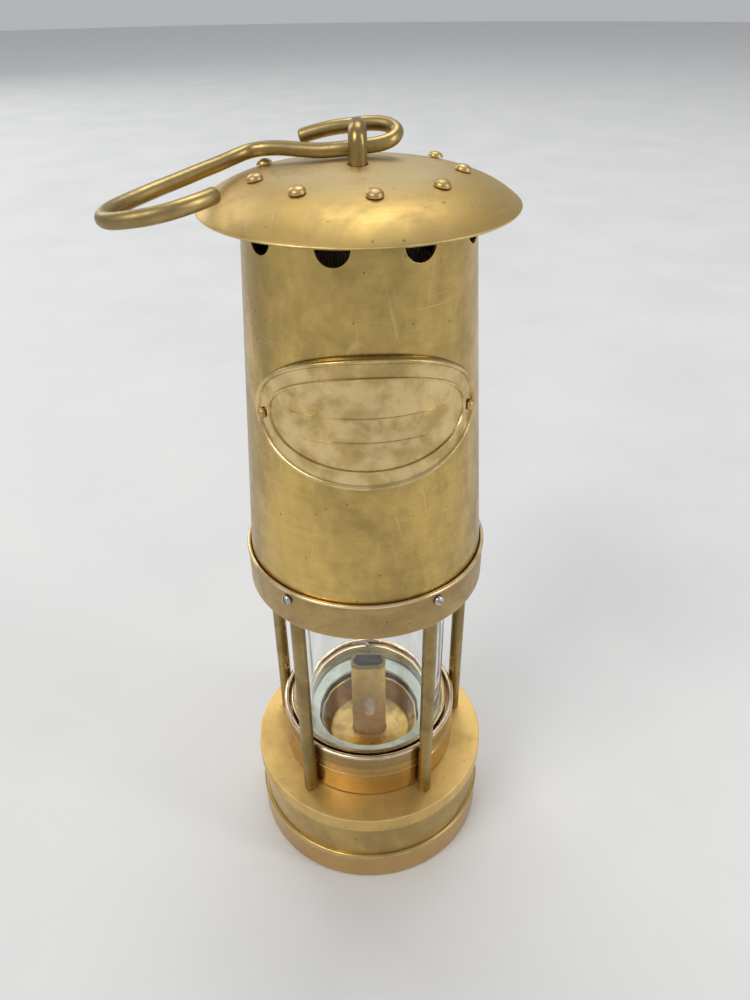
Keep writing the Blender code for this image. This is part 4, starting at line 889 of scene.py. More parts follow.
class Finishes:
    """Every finish of the lamp, made once."""

    def __init__(self, groups: Groups) -> None:
        """Make the materials, with heights read from the frame."""
        hood_low, hood_high = low("hood").z, high("hood").z
        seat_low, seat_high = low("glass_seat_ring").z, high("glass_seat_ring").z
        pricker, filler, lock = middle("pricker_knob"), middle("filler_plug"), middle("lock_screw")
        self.vessel = MetalFinish("vessel_brass", (0.64, 0.445, 0.155), (0.42, 0.29, 0.105), (0.82, 0.60, 0.28),
                                  cover=0.55, cloud=26.0, smooth=0.26, dull=0.40, line_tint=0.24,
                                  scratch_amount=0.5,
                                  bands=((-0.01, BEAD_HEIGHT - 0.0012, 0.0006, (0.64, 0.41, 0.18), 0.7),)
                                  ).material(groups)
        self.flange = MetalFinish("flange_brass", (0.78, 0.55, 0.205), (0.60, 0.42, 0.155), (0.92, 0.70, 0.36),
                                  cover=0.45, smooth=0.54, dull=0.62).material(groups)
        self.pillar = MetalFinish("pillar_brass", (0.40, 0.29, 0.115), (0.26, 0.19, 0.08), (0.80, 0.60, 0.30),
                                  cloud=60.0, line_density=2200.0, smooth=0.26, dull=0.40).material(groups)
        # Seat ring: its pinkish-white bright colour serves the scratches and the lip's rubbed wear and painted
        # highlight.
        self.seat = MetalFinish("seat_brass", (0.62, 0.44, 0.22), (0.44, 0.30, 0.14), (1.0, 0.82, 0.64),
                                cover=0.4, smooth=0.22, dull=0.34, rub_and_glint=1.0,
                                bands=((seat_high - 0.0062, seat_high - 0.0014, 0.0005,
                                        (0.30, 0.23, 0.10), 0.75),
                                       (seat_low, seat_low + 0.0105, 0.0012, (0.60, 0.42, 0.20), 0.4))
                                ).material(groups)
        # Band: its pale bright colour serves the scratches and the lip's rubbed wear and painted highlight.
        self.band = MetalFinish("band_brass", (0.50, 0.345, 0.145), (0.35, 0.24, 0.10), (1.0, 0.80, 0.50),
                                cover=0.5, cloud=40.0, line_density=1100.0, line_depth=0.000012, line_tint=0.35,
                                smooth=0.30, dull=0.44, rub_and_glint=1.0).material(groups)
        # Bonnet: its clouds are stretched up and down, partly tarnish, partly painted vertical reflection
        # streaks.
        self.bonnet = MetalFinish("bonnet_brass", (0.68, 0.475, 0.155), (0.36, 0.25, 0.088), (0.80, 0.60, 0.30),
                                  cover=0.55, cloud=24.0, upright=0.35, smooth=0.20, dull=0.36,
                                  line_density=900.0, line_depth=0.000005, line_tint=0.20, scratch_scale=48.0,
                                  scratch_amount=0.75, dent=0.0005).material(groups)
        self.plate = MetalFinish("plate_brass", (0.45, 0.305, 0.085), (0.29, 0.20, 0.06), (0.86, 0.66, 0.34),
                                 cover=0.5, cloud=90.0, smooth=0.28, dull=0.42, line_depth=0.000002,
                                 line_tint=0.05, rub_and_glint=0.9, dent=0.0002).material(groups)
        self.hood = MetalFinish("hood_brass", (0.60, 0.41, 0.13), (0.45, 0.32, 0.125), (0.98, 0.76, 0.40),
                                cover=0.5, cloud=34.0, smooth=0.42, dull=0.56, line_density=700.0,
                                line_depth=0.000005, line_tint=0.08, speck_scale=700.0, speck_amount=0.05,
                                speck=(0.30, 0.20, 0.10), dent=0.0004,
                                # A paler, greyer band over the crown: partly tarnish bloom, partly a painted
                                # reflection on the flat top.
                                bands=((hood_low + 0.0085, hood_high + 0.01, 0.0014, (0.66, 0.54, 0.31), 0.65),)
                                ).material(groups)
        self.rivet = MetalFinish("rivet_brass", (0.62, 0.43, 0.17), (0.44, 0.31, 0.13), (0.90, 0.68, 0.36),
                                 cloud=180.0, cover=0.4, smooth=0.38, dull=0.50, line_tint=0.0, line_depth=0.0,
                                 dent=0.0).material(groups)
        self.staple = MetalFinish("staple_brass", (0.42, 0.29, 0.105), (0.27, 0.185, 0.07), (0.80, 0.58, 0.28),
                                  cloud=90.0, cover=0.5, smooth=0.24, dull=0.38, line_tint=0.0,
                                  line_depth=0.0, dent=0.0001).material(groups)
        self.hook = MetalFinish("hook_brass", (0.44, 0.32, 0.125), (0.30, 0.22, 0.09), (0.66, 0.52, 0.28),
                                cloud=55.0, cover=0.5, smooth=0.32, dull=0.46, line_tint=0.0, line_depth=0.0,
                                scratch_scale=120.0, scratch_amount=0.6, dent=0.0002).material(groups)
        self.burner = MetalFinish("burner_brass", (0.56, 0.38, 0.12), (0.30, 0.195, 0.065), (0.95, 0.72, 0.36),
                                  cover=0.45, cloud=90.0, smooth=0.30, dull=0.46).material(groups)
        self.tube = MetalFinish("wick_tube_brass", (1.0, 0.74, 0.27), (0.80, 0.52, 0.15), (1.0, 0.76, 0.36),
                                cloud=120.0, cover=0.45, smooth=0.55, dull=0.65, line_tint=0.0, line_depth=0.0,
                                bands=((high("wick_tube").z - 0.0014, 1.0, 0.0008, (0.12, 0.08, 0.05), 0.7),)
                                ).material(groups)
        steel = dict(clean=(0.62, 0.60, 0.56), tarnish=(0.36, 0.33, 0.29), bright=(0.86, 0.85, 0.83),
                     cloud=200.0, speck=(0.14, 0.07, 0.03), dent=0.0)
        self.steel = MetalFinish("screw_steel", line_tint=0.0, line_depth=0.0, **steel).material(groups)
        self.knob = MetalFinish("knob_brass", (0.60, 0.45, 0.20), (0.38, 0.27, 0.12), (0.88, 0.68, 0.36),
                                centre=(pricker.x, pricker.y), cloud=150.0, dent=0.0).material(groups)
        self.plug = MetalFinish("plug_brass", (0.60, 0.45, 0.20), (0.40, 0.29, 0.13), (0.88, 0.68, 0.36),
                                centre=(filler.x, filler.y), cloud=120.0, dent=0.0).material(groups)
        self.lock = MetalFinish("lock_steel", centre=(lock.x, lock.y), **steel).material(groups)
        self.gasket = SoftFinish("gasket_pale", (0.62, 0.70, 0.62), (0.46, 0.52, 0.44), rough=0.6,
                                 grain_depth=0.00008).material(groups)
        self.leather = SoftFinish("washer_leather", (0.22, 0.12, 0.06), (0.12, 0.065, 0.03),
                                  grain_depth=0.0002).material(groups)
        self.cotton = SoftFinish("packing_cotton", (0.80, 0.75, 0.62), (0.62, 0.54, 0.38), rough=0.9,
                                 grain_depth=0.0004, sheen=0.3).material(groups)
        wick_top = high("wick").z
        self.wick = SoftFinish("wick_cotton", (0.82, 0.77, 0.64), (0.55, 0.46, 0.32), rough=0.9,
                               grain_depth=0.0003, plaited=True, char=(wick_top - 0.0042, wick_top - 0.0016),
                               sheen=0.3).material(groups)
        self.glass = GlassFinish("lamp_glass", (0.93, 0.97, 0.95)).material()
        self.ground = SoftFinish("ground_glass", (0.66, 0.76, 0.70), (0.50, 0.60, 0.53), rough=0.5,
                                 grain_depth=0.00003).material(groups)
        self.inner_gauze = GauzeFinish("inner_gauze_wire", high("inner_gauze").x * 0.75,
                                       high("inner_gauze").z).material(groups)
        self.outer_gauze = GauzeFinish("outer_gauze_wire", high("outer_gauze").x * 0.88,
                                       high("outer_gauze").z).material(groups)


# ---------------------------------------------------------------- oil vessel and what it holds

@dataclass
class OilVessel:
    """The turned vessel with three cups in its underside, and the packing in it."""

    finishes: Finishes
    plate: float = 0.0024
    wall: float = 0.0016
    wall_inset: float = 0.0012
    foot_inset: float = 0.0003
    foot_chamfer: float = 0.0008
    bead_radius: float = 0.0011
    neck: float = 0.0255            # its radius where the base's is the next figure
    neck_base: float = 0.045
    neck_wall: float = 0.0022
    burner_hole: float = 0.0163
    cup_wall: float = 0.0018
    knob_room: float = 0.0012
    filler_room: float = 0.0015
    lock_room: float = 0.0008
    lock_wall: float = 0.0006
    lock_shaft: float = 0.0024
    lock_head: float = 0.0035
    cup_start: float = 0.0004       # the cups' walls start inside the floor's sheet
    overcut: float = 0.002          # how far a hollow's cutter stands out of the underside
    bore_length: float = 0.006
    bore: float = 0.0055            # hole for the filler's thread

    def build(self) -> None:
        """Make the vessel and the packing."""
        _, neck_top, base = span("oil_vessel")
        seam = low("base_flange").z - FIT
        wall = base - self.wall_inset
        inner = wall - self.wall
        foot = base - self.foot_inset
        neck_radius = self.neck * base / self.neck_base
        neck_bore = neck_radius - self.neck_wall
        under = seam - self.plate
        bead = arc((base - self.bead_radius, BEAD_HEIGHT), self.bead_radius, 84, -78, 13)
        profile = [(0.0, self.plate), (inner, self.plate), (inner, under), (self.burner_hole, under),
                   (self.burner_hole, seam), (neck_bore, seam), (neck_bore, neck_top),
                   (neck_radius, neck_top), (neck_radius, seam),
                   (wall, seam), (wall, BEAD_HEIGHT + self.bead_radius)]
        profile += bead
        profile += [(foot, BEAD_HEIGHT - self.bead_radius), (foot, self.foot_chamfer),
                    (foot - self.foot_chamfer, 0.0), (0.0, 0.0)]
        shape = Shape.turned(profile, closed=False)
        shape.bevelled(0.00035, where=past(neck_radius - 0.004))
        cups = (("pricker_knob", high("pricker_knob").x + self.knob_room, low("pricker_tube").z,
                 high("pricker_tube").x + FIT),
                ("filler_plug", high("filler_plug").x - middle("filler_plug").x + self.filler_room,
                 high("filler_washer").z + FIT, self.bore))
        outsides, hollows = [], []
        for node, radius, depth, bore in cups:
            top, half = depth + self.cup_wall, self.bore_length / 2
            spot = upright(node) @ Matrix.Rotation(0.06, 4, "Z")
            outsides.append(Shape.post(radius + self.cup_wall, self.cup_start, top, spot, 64))
            hollows.append(Shape.post(radius, -self.overcut, depth, spot, 64))
            hollows.append(Shape.post(bore, top - half, top + half, spot, 32))
        radius = high("lock_screw").x - middle("lock_screw").x + self.lock_room
        spot = upright("lock_screw") @ Matrix.Rotation(0.05, 4, "Z")
        outsides.append(Shape.post(radius + self.lock_wall, self.cup_start, seam - self.cup_start, spot, 48))
        hollows.append(Shape.post(radius, -self.overcut, low("lock_screw").z + self.lock_head, spot, 48))
        hollows.append(Shape.post(self.lock_shaft, self.overcut, seam + self.overcut, spot, 32))
        shape.combined(outsides, "UNION").combined(hollows)
        # The bead's outer crest is painted bright: rubbed wear and a painted highlight.
        shape.rubbed_and_glinting(0.7, lambda p: p.xy.length > base - 0.00025 and abs(p.z - BEAD_HEIGHT) < 0.0008)
        shape.piece("vessel_shell", self.finishes.vessel, Body.VESSEL, Slot.VESSEL, ["oil_vessel"])
        self._packing()

    def _packing(self) -> None:
        """The loose cotton ring that holds the oil."""
        bottom, top, outer = span("cotton_packing")
        slack, bore = 0.0004, 0.0190
        outer -= slack
        level, half = (bottom + top) / 2, (top - bottom) / 2 - slack
        width = (outer - bore) / 2
        profile = [(bore + width + (width - 0.001) * math.cos(a) * (1 + 0.08 * math.cos(4 * a)),
                    level + half * math.sin(a)) for a in (math.tau * i / 28 for i in range(28))]
        shape = Shape.turned(profile, closed=True, steps=110)
        for vert in shape.bm.verts:
            vert.co += vert.normal * 0.0007 * (noise.fractal(vert.co * 260.0, 0.8, 2.1, 4) - 0.2)
        shape.piece("oil_packing", self.finishes.cotton, Body.VESSEL, Slot.COTTON, ["cotton_packing"])


@dataclass
class Burner:
    """The screwed burner with its dish, the wick tube, the wick and the pricker's guide."""

    finishes: Finishes
    plug: float = 0.016
    shoulder: float = 0.0185
    shoulder_height: float = 0.0017
    hub: float = 0.015
    floor_radius: float = 0.0172
    wall: float = 0.001
    floor_above_seam: float = 0.009
    tube_wall: float = 0.0012
    slot_width: float = 0.0044
    slot_length: float = 0.0097
    slot_above: float = 0.0007
    peep_radius: float = 0.0007
    guide_wall: float = 0.0006

    def build(self) -> None:
        """Make the burner, the tube, the wick and the guide."""
        seam = low("base_flange").z - FIT
        seat = seam + FIT
        bottom, rim, radius = span("burner_dish")
        floor = seam + self.floor_above_seam
        under = floor - self.wall
        profile = [(0.0, floor), (self.floor_radius - self.wall - 0.0012, floor),
                   (self.floor_radius - self.wall - 0.0003, floor + 0.0005), (radius - self.wall, rim - 0.0002),
                   (radius - self.wall + 0.0003, rim), (radius - 0.0003, rim), (radius, rim - 0.0003),
                   (self.floor_radius, under), (self.hub, under), (self.hub, seat + self.shoulder_height),
                   (self.shoulder, seat + self.shoulder_height), (self.shoulder, seat), (self.plug, seat),
                   (self.plug, bottom), (0.0, bottom)]
        tube = high("wick_tube")
        foot, top, outer = span("pricker_tube")
        hole = Shape.obround(2 * (tube.x + FIT), 2 * (tube.y + FIT), bottom - 0.001, rim + 0.001)
        bore = Shape.cylinder(outer + FIT, 0.05, upright("pricker_tube") @ raised((bottom + rim) / 2), 32)
        shape = Shape.turned(profile, closed=False).bevelled(0.0002).combined([hole, bore])
        shape.piece("burner", self.finishes.burner, Body.VESSEL, Slot.BURNER, ["burner_dish"])
        self._tube(rim)
        self._wick()
        ring = Shape.ring(outer - self.guide_wall, outer, foot, top, SMALL_ROUND).bevelled(0.00012)
        ring.moved(upright("pricker_tube"))
        ring.piece("pricker_guide", self.finishes.burner, Body.VESSEL, Slot.BURNER, ["pricker_tube"])

    def _tube(self, rim: float) -> None:
        """The flat wick tube with its slot and the small peep hole under it.

        Args:
            rim: height of the dish's rim.
        """
        start, end = low("wick_tube"), high("wick_tube")
        outer = Shape.obround(2 * end.x, 2 * end.y, start.z, end.z)
        inner = Shape.obround(2 * (end.x - self.tube_wall), 2 * (end.y - self.tube_wall),
                              start.z - 0.001, end.z + 0.001)
        face = Matrix.Rotation(math.radians(90), 4, "X")
        upright = Matrix.Rotation(math.radians(90), 4, "Z")
        slot_middle = rim + self.slot_above + self.slot_length / 2
        slot = Shape.obround(self.slot_length, self.slot_width, -0.003, 0.003)
        slot.moved(Matrix.Translation((0.0, start.y, slot_middle)) @ face @ upright)
        peep = Shape.cylinder(self.peep_radius, 0.005,
                              Matrix.Translation((0.0, start.y, rim - 0.0022)) @ face, 24)
        outer.combined([inner, slot, peep])
        outer.bevelled(0.0003, 50.0, where=lambda e: min(v.co.z for v in e.verts) > end.z - 0.0005)
        outer.piece("wick_sleeve", self.finishes.tube, Body.VESSEL, Slot.BURNER, ["wick_tube"])

    def _wick(self) -> None:
        """The flat plaited wick, ragged at its burnt top."""
        start, end = low("wick"), high("wick")
        shape = Shape.obround(2 * end.x, 2 * end.y, start.z, end.z - 0.0006, layers=70, steps=70)
        top = [f for f in shape.bm.faces if f.calc_center_median().z > end.z - 0.0007 and f.normal.z > 0.9]
        for _ in range(3):
            bmesh.ops.inset_region(shape.bm, faces=top, thickness=0.00035, depth=0.0, use_even_offset=True)
        for vert in shape.bm.verts:
            near = max(0.0, 1.0 - (end.z - vert.co.z) / 0.0025)
            rough = noise.fractal(Vector((vert.co.x * 900, vert.co.y * 900, 3.0)), 0.7, 2.0, 3)
            vert.co.z += near * max(-0.0009, min(0.0006, 0.0008 * rough))
        shape.bm.normal_update()
        shape.piece("plaited_wick", self.finishes.wick, Body.VESSEL, Slot.COTTON, ["wick"], crisp=60.0)


@dataclass
class Underside:
    """The pricker, the filler plug and the lock screw, all worked from below."""

    finishes: Finishes
    knurls: int = 36
    stem: float = 0.0052
    head_height: float = 0.0034
    key_slot: float = 0.0018
    key_depth: float = 0.0016
    lock_shank: float = 0.0021
    lock_head: float = 0.0032
    lock_socket: float = 0.0026

    def build(self) -> None:
        """Make all three with the washer."""
        self._pricker()
        self._filler()
        self._lock()

    def _pricker(self) -> None:
        """The knurled knob and the bent wire that trims the wick."""
        start, end, centre = low("pricker_knob"), high("pricker_knob"), middle("pricker_knob")
        radius = end.x - centre.x
        profile = [(0.0, end.z), (radius - 0.0007, end.z), (radius, end.z - 0.0007), (radius, start.z + 0.0009),
                   (radius - 0.0009, start.z), (radius * 0.45, start.z), (radius * 0.35, start.z + 0.0006),
                   (0.0, start.z + 0.0006)]
        knob = Shape.turned(profile, closed=False, steps=2 * self.knurls)
        for vert in knob.bm.verts:
            reach = vert.co.xy.length
            turn = math.atan2(vert.co.y, vert.co.x) / math.tau * 2 * self.knurls
            if reach > radius - 0.0001 and round(turn) % 2:
                vert.co.xy *= (radius - 0.0004) / reach
        knob.moved(upright("pricker_knob"))
        knob.piece("pricker_thumb_knob", self.finishes.knob, Body.PRICKER, Slot.BURNER, ["pricker_knob"],
                   crisp=20.0)
        rod = high("pricker_wire").y - centre.y
        top = high("pricker_wire").z - rod
        arm = (high("pricker_wire").x - low("pricker_wire").x) - rod
        bend = 2.5 * rod
        line = [Vector((centre.x, centre.y, low("pricker_wire").z))]
        line.append(Vector((centre.x, centre.y, top - bend - 0.002)))
        for x, z in arc((-bend, top - bend), bend, 0, 90, 12):
            line.append(Vector((centre.x + x, centre.y, z)))
        line.append(Vector((centre.x - arm, centre.y, top)))
        shape = Shape.swept(line, rod, 20)
        shape.piece("pricker_rod", self.finishes.steel, Body.PRICKER, Slot.STEEL, ["pricker_wire"])

    def _filler(self) -> None:
        """The slotted filler plug and its leather washer."""
        start, end, centre = low("filler_plug"), high("filler_plug"), middle("filler_plug")
        radius = end.x - centre.x
        head = start.z + self.head_height
        threads: list[Point2] = []
        pitch, level = 0.0009, end.z - 0.0006
        while level > head + 0.0008:
            threads += [(self.stem, level), (self.stem - 0.0003, level - pitch / 2)]
            level -= pitch
        profile = [(0.0, end.z), (self.stem - 0.0006, end.z)] + threads + [
            (self.stem - 0.0003, head), (radius, head), (radius, start.z), (0.0, start.z)]
        plug = Shape.turned(profile, closed=False, steps=64)
        plug.bevelled(0.0004, where=past(radius - 0.0002))
        slot = Shape.block((4 * radius, self.key_slot, 2 * self.key_depth), raised(start.z))
        plug.combined([slot]).moved(upright("filler_plug"))
        plug.piece("filler_screw", self.finishes.plug, Body.FILLER, Slot.VESSEL, ["filler_plug"])
        under, over, edge = span("filler_washer")
        washer = Shape.ring(self.stem + FIT, edge - centre.x, under, over, 64)
        washer.bevelled(0.00025).moved(upright("filler_plug"))
        washer.piece("filler_leather", self.finishes.leather, Body.VESSEL, Slot.LEATHER, ["filler_washer"])

    def _lock(self) -> None:
        """The lock screw with its square key socket."""
        start, end, centre = low("lock_screw"), high("lock_screw"), middle("lock_screw")
        radius = end.x - centre.x
        head = start.z + self.lock_head
        profile = [(0.0, end.z), (self.lock_shank - 0.0005, end.z), (self.lock_shank, end.z - 0.0005),
                   (self.lock_shank, head), (radius, head), (radius, start.z), (0.0, start.z)]
        screw = Shape.turned(profile, closed=False, steps=SMALL_ROUND)
        screw.bevelled(0.0003, where=past(radius - 0.0002))
        socket = Shape.block((self.lock_socket, self.lock_socket, self.lock_head),
                             raised(start.z) @ Matrix.Rotation(0.3, 4, "Z"))
        screw.combined([socket]).moved(upright("lock_screw"))
        screw.piece("locking_screw", self.finishes.lock, Body.LOCK, Slot.STEEL, ["lock_screw"])


# ---------------------------------------------------------------- frame round the glass

@dataclass
class GlassHousing:
    """The base flange, the seat ring with its clamp ring, the gaskets and the glass."""

    finishes: Finishes
    flange_bore: float = 0.0258
    lip: float = 0.0018
    skirt: float = 0.0025
    groove_above: float = 0.0112    # middle of the groove, above the ring's foot
    ledge_above_flange: float = 0.0132
    ledge: float = 0.0034
    seat_bore: float = 0.0224
    dish_gap: float = 0.0004        # between the dish and the packing ring round it
    glass_wall: float = 0.0051

    def build(self) -> None:
        """Make every ring and the glass."""
        bottom, top, radius = span("base_flange")
        flange = Shape.ring(self.flange_bore, radius, bottom, top).bevelled(0.0005)
        hole = Shape.cylinder(0.0024, 0.009, upright("lock_screw") @ raised(bottom - 0.0006), 32)
        flange.combined([hole])
        flange.piece("base_ring", self.finishes.flange, Body.FRAME, Slot.FRAME, ["base_flange"])
        self._seat(top)
        self._clamp()
        self._soft_and_glass()

    def _seat(self, flange_top: float) -> None:
        """The seat ring, with its rounded lip and the shallow groove round its wall."""
        bottom, top, radius = span("glass_seat_ring")
        ledge = flange_top + self.ledge_above_flange
        half = self.lip / 2
        inner = radius - self.skirt
        line = bottom + self.groove_above
        profile = arc((radius - half, top - half), half, 180, 0, 15) + [
            (radius, line + 0.0009), (radius - 0.00035, line + 0.0005), (radius - 0.00035, line - 0.0005),
            (radius, line - 0.0009), (radius, bottom + 0.0014), (radius, bottom), (inner, bottom),
            (inner, ledge - self.ledge), (self.seat_bore, ledge - self.ledge), (self.seat_bore, ledge),
            (radius - self.lip, ledge)]
        shape = Shape.turned(profile, closed=True).bevelled(0.0003, 60.0)
        # The top of the rounded lip is marked bright: a painted highlight with rubbed wear.
        shape.rubbed_and_glinting(0.8, lambda p: p.z > top - half and abs(p.xy.length - radius + half) < half)
        shape.piece("seat_ring", self.finishes.seat, Body.FRAME, Slot.SEAT, ["glass_seat_ring"])

    def _clamp(self) -> None:
        """The threaded ring that clamps the glass."""
        bottom, top, radius = span("glass_clamp_ring")
        shape = Shape.ring(high("lamp_glass").x + FIT, radius, bottom, top).bevelled(0.00045)
        shape.piece("clamp_ring", self.finishes.seat, Body.FRAME, Slot.FRAME, ["glass_clamp_ring"])

    def _soft_and_glass(self) -> None:
        """Both gaskets and the glass cylinder, ground flat at its ends."""
        bottom, top, radius = span("lamp_glass")
        bore = radius - self.glass_wall
        for node, inner in (("lower_gasket", high("burner_dish").x + self.dish_gap), ("upper_gasket", bore)):
            ring = Shape.ring(inner, radius, low(node).z, high(node).z).bevelled(0.0002)
            ring.piece(node.split("_")[0] + "_packing_ring", self.finishes.gasket, Body.FRAME, Slot.GASKET,
                       [node])
        glass = Shape.ring(bore, radius, bottom, top, 180).bevelled(0.0006)
        made = glass.piece("glass_cylinder", self.finishes.glass, Body.FRAME, Slot.GLASS, ["lamp_glass"])
        made.data.materials.append(self.finishes.ground)
        for face in made.data.polygons:
            face.material_index = int(abs(face.normal.z) > 0.95)


@dataclass
class PillarFrame:
    """The five pillars, the middle band and the screws through it."""

    finishes: Finishes
    pillar_radius: float = 0.00238
    band_wall: float = 0.00095
    lip: float = 0.00145             # thickness of the rolled lip
    lip_proud: float = 0.0003
    band_plate: float = 0.0028
    band_bore: float = 0.0230
    head_radius: float = 0.0018
    head_height: float = 0.0012
    shank: float = 0.0010
    slot: float = 0.0005

    def build(self) -> None:
        """Make the pillars, the band and its screws."""
        for index in range(1, 6):
            self._pillar(index)
        self._band()
        for index in range(1, 6):
            self._screw(index)

    def _pillar(self, index: int) -> None:
        """One plain pillar with a spigot at each end."""
        node = f"pillar_{index}"
        start, end, _ = span(node)
        foot, top = high("base_flange").z + FIT, low("middle_band").z - FIT
        radius, spigot = self.pillar_radius, 0.0015
        profile = [(0.0, end), (spigot, end), (spigot, top), (radius, top), (radius, foot), (spigot, foot),
                   (spigot, start), (0.0, start)]
        shape = Shape.turned(profile, closed=False, steps=SMALL_ROUND)
        shape.bevelled(0.00018).moved(upright(node))
        shape.piece(f"rod_{index}", self.finishes.pillar, Body.FRAME, Slot.FRAME, [node])

    def _band(self) -> None:
        """The band, with its rounded lip and the plate over the glass."""
        bottom, top, radius = span("middle_band")
        half = self.lip / 2
        inner = radius - self.band_wall
        centre = (radius + self.lip_proud - half, top - half)
        profile = arc(centre, half, 215, -42, 19) + [
            (radius, top - self.lip), (radius, bottom), (self.band_bore, bottom),
            (self.band_bore, bottom + self.band_plate), (inner, bottom + self.band_plate),
            (inner, top - self.lip)]
        shape = Shape.turned(profile, closed=True).bevelled(0.0005, 60.0)
        # The top of the rolled lip is marked bright: a painted highlight with rubbed wear.
        shape.rubbed_and_glinting(0.75, lambda p: p.z > top - half * 1.2 and p.xy.length > centre[0] - half * 0.6)
        shape.piece("waist_band", self.finishes.band, Body.FRAME, Slot.BAND, ["middle_band"])

    def _screw(self, index: int) -> None:
        """One slotted round-head screw."""
        node = f"band_screw_{index}"
        radius = high("middle_band").x + FIT
        place = outward_frame(bearing_of(node), radius, middle(node).z)
        steps = 9
        dome = [(self.head_radius * math.sin(a), self.head_height * math.cos(a))
                for a in (math.radians(90 * i / (steps - 1)) for i in range(steps))]
        profile = dome + [(self.shank, 0.0), (self.shank, -0.0045), (0.0, -0.0045)]
        screw = Shape.turned(profile, closed=False, steps=SMALL_ROUND)
        turn = Matrix.Rotation(math.radians(37.0 * index), 4, "Z")
        slot = Shape.block((4 * self.head_radius, self.slot, self.head_height), raised(self.head_height) @ turn)
        screw.combined([slot]).moved(place)
        screw.piece(f"round_screw_{index}", self.finishes.steel, Body.FRAME, Slot.STEEL, [node])


@dataclass
class GauzeStack:
    """The two wire gauzes and the ring that clamps their feet."""

    finishes: Finishes
    inner: float = 0.0205           # radii at the foot
    outer: float = 0.0246
    sheet: float = 0.0006
    upstand: float = 0.0018
    plate: float = 0.0020
    taper: float = 0.030
    corner: float = 0.0022

    def build(self) -> None:
        """Make both gauzes and the ring."""
        for node, radius, finish in (("inner_gauze", self.inner, self.finishes.inner_gauze),
                                     ("outer_gauze", self.outer, self.finishes.outer_gauze)):
            foot, top, reach = span(node)
            end = radius - self.taper * (top - foot)
            bend = arc((end - self.corner, top - self.corner), self.corner, 90, 0, 8)
            inside = arc((end - self.corner, top - self.corner), self.corner - self.sheet, 0, 90, 8)
            profile = [(0.0, top), ((end - self.corner) / 2, top)] + bend + [
                (radius, foot + self.sheet), (reach, foot + self.sheet), (reach, foot),
                (radius - self.sheet, foot)] + inside + [(0.0, top - self.sheet)]
            shape = Shape.turned(profile, closed=False, steps=96)
            shape.piece(node.replace("_", "_wire_"), finish, Body.FRAME, Slot.GAUZE, [node])
        bottom, top, radius = span("gauze_ring")
        bore = self.outer + FIT
        inner = radius - self.upstand
        ring = Shape.turned([(inner, top), (radius, top), (radius, bottom), (bore, bottom),
                             (bore, bottom + self.plate), (inner, bottom + self.plate)], closed=True)
        ring.bevelled(0.0003)
        ring.piece("gauze_clamp", self.finishes.band, Body.FRAME, Slot.BAND, ["gauze_ring"])


# ---------------------------------------------------------------- bonnet, plate, hood and hook

@dataclass
class HoodForm:
    """The line of the hood's outer surface, which the bonnet's flange and the rivets follow."""

    sheet: float = 0.0009
    cone: float = 0.12
    shoulder: float = 0.006
    power: float = 5.5

    @property
    def radius(self) -> float:
        """Radius of the rim."""
        return high("hood").x

    @property
    def crown(self) -> float:
        """Height of the crown."""
        return high("hood").z

    def height(self, radius: float) -> float:
        """Height of the outer surface at a radius."""
        return self.crown - self.cone * radius - self.shoulder * (radius / self.radius) ** self.power

    def slope(self, radius: float) -> float:
        """Downward slope at a radius, in degrees."""
        step = 1e-5
        return math.degrees(math.atan2(self.height(radius - step) - self.height(radius + step), 2 * step))


def domed_rivet(radius: float, height: float, shank: float, length: float) -> Shape:
    """A round-headed rivet whose head stands on Z = 0, with a slight flat where the set struck it.

    Args:
        radius: head radius.
        height: head height.
        shank: shank radius.
        length: shank length.

    Returns:
        The closed rivet.
    """
    steps = 10
    dome = [(radius * math.sin(a), height * math.cos(a) ** 0.85)
            for a in (math.radians(88 * i / (steps - 1)) for i in range(steps))]
    rivet = Shape.turned(dome + [(radius, 0.0), (shank, 0.0), (shank, -length), (0.0, -length)], closed=False,
                         steps=SMALL_ROUND)
    # The rim of the head is marked bright: rubbed wear and a painted highlight.
    return rivet.rubbed_and_glinting(1.0, lambda p: p.z < height * 0.22 and p.xy.length > radius * 0.9)


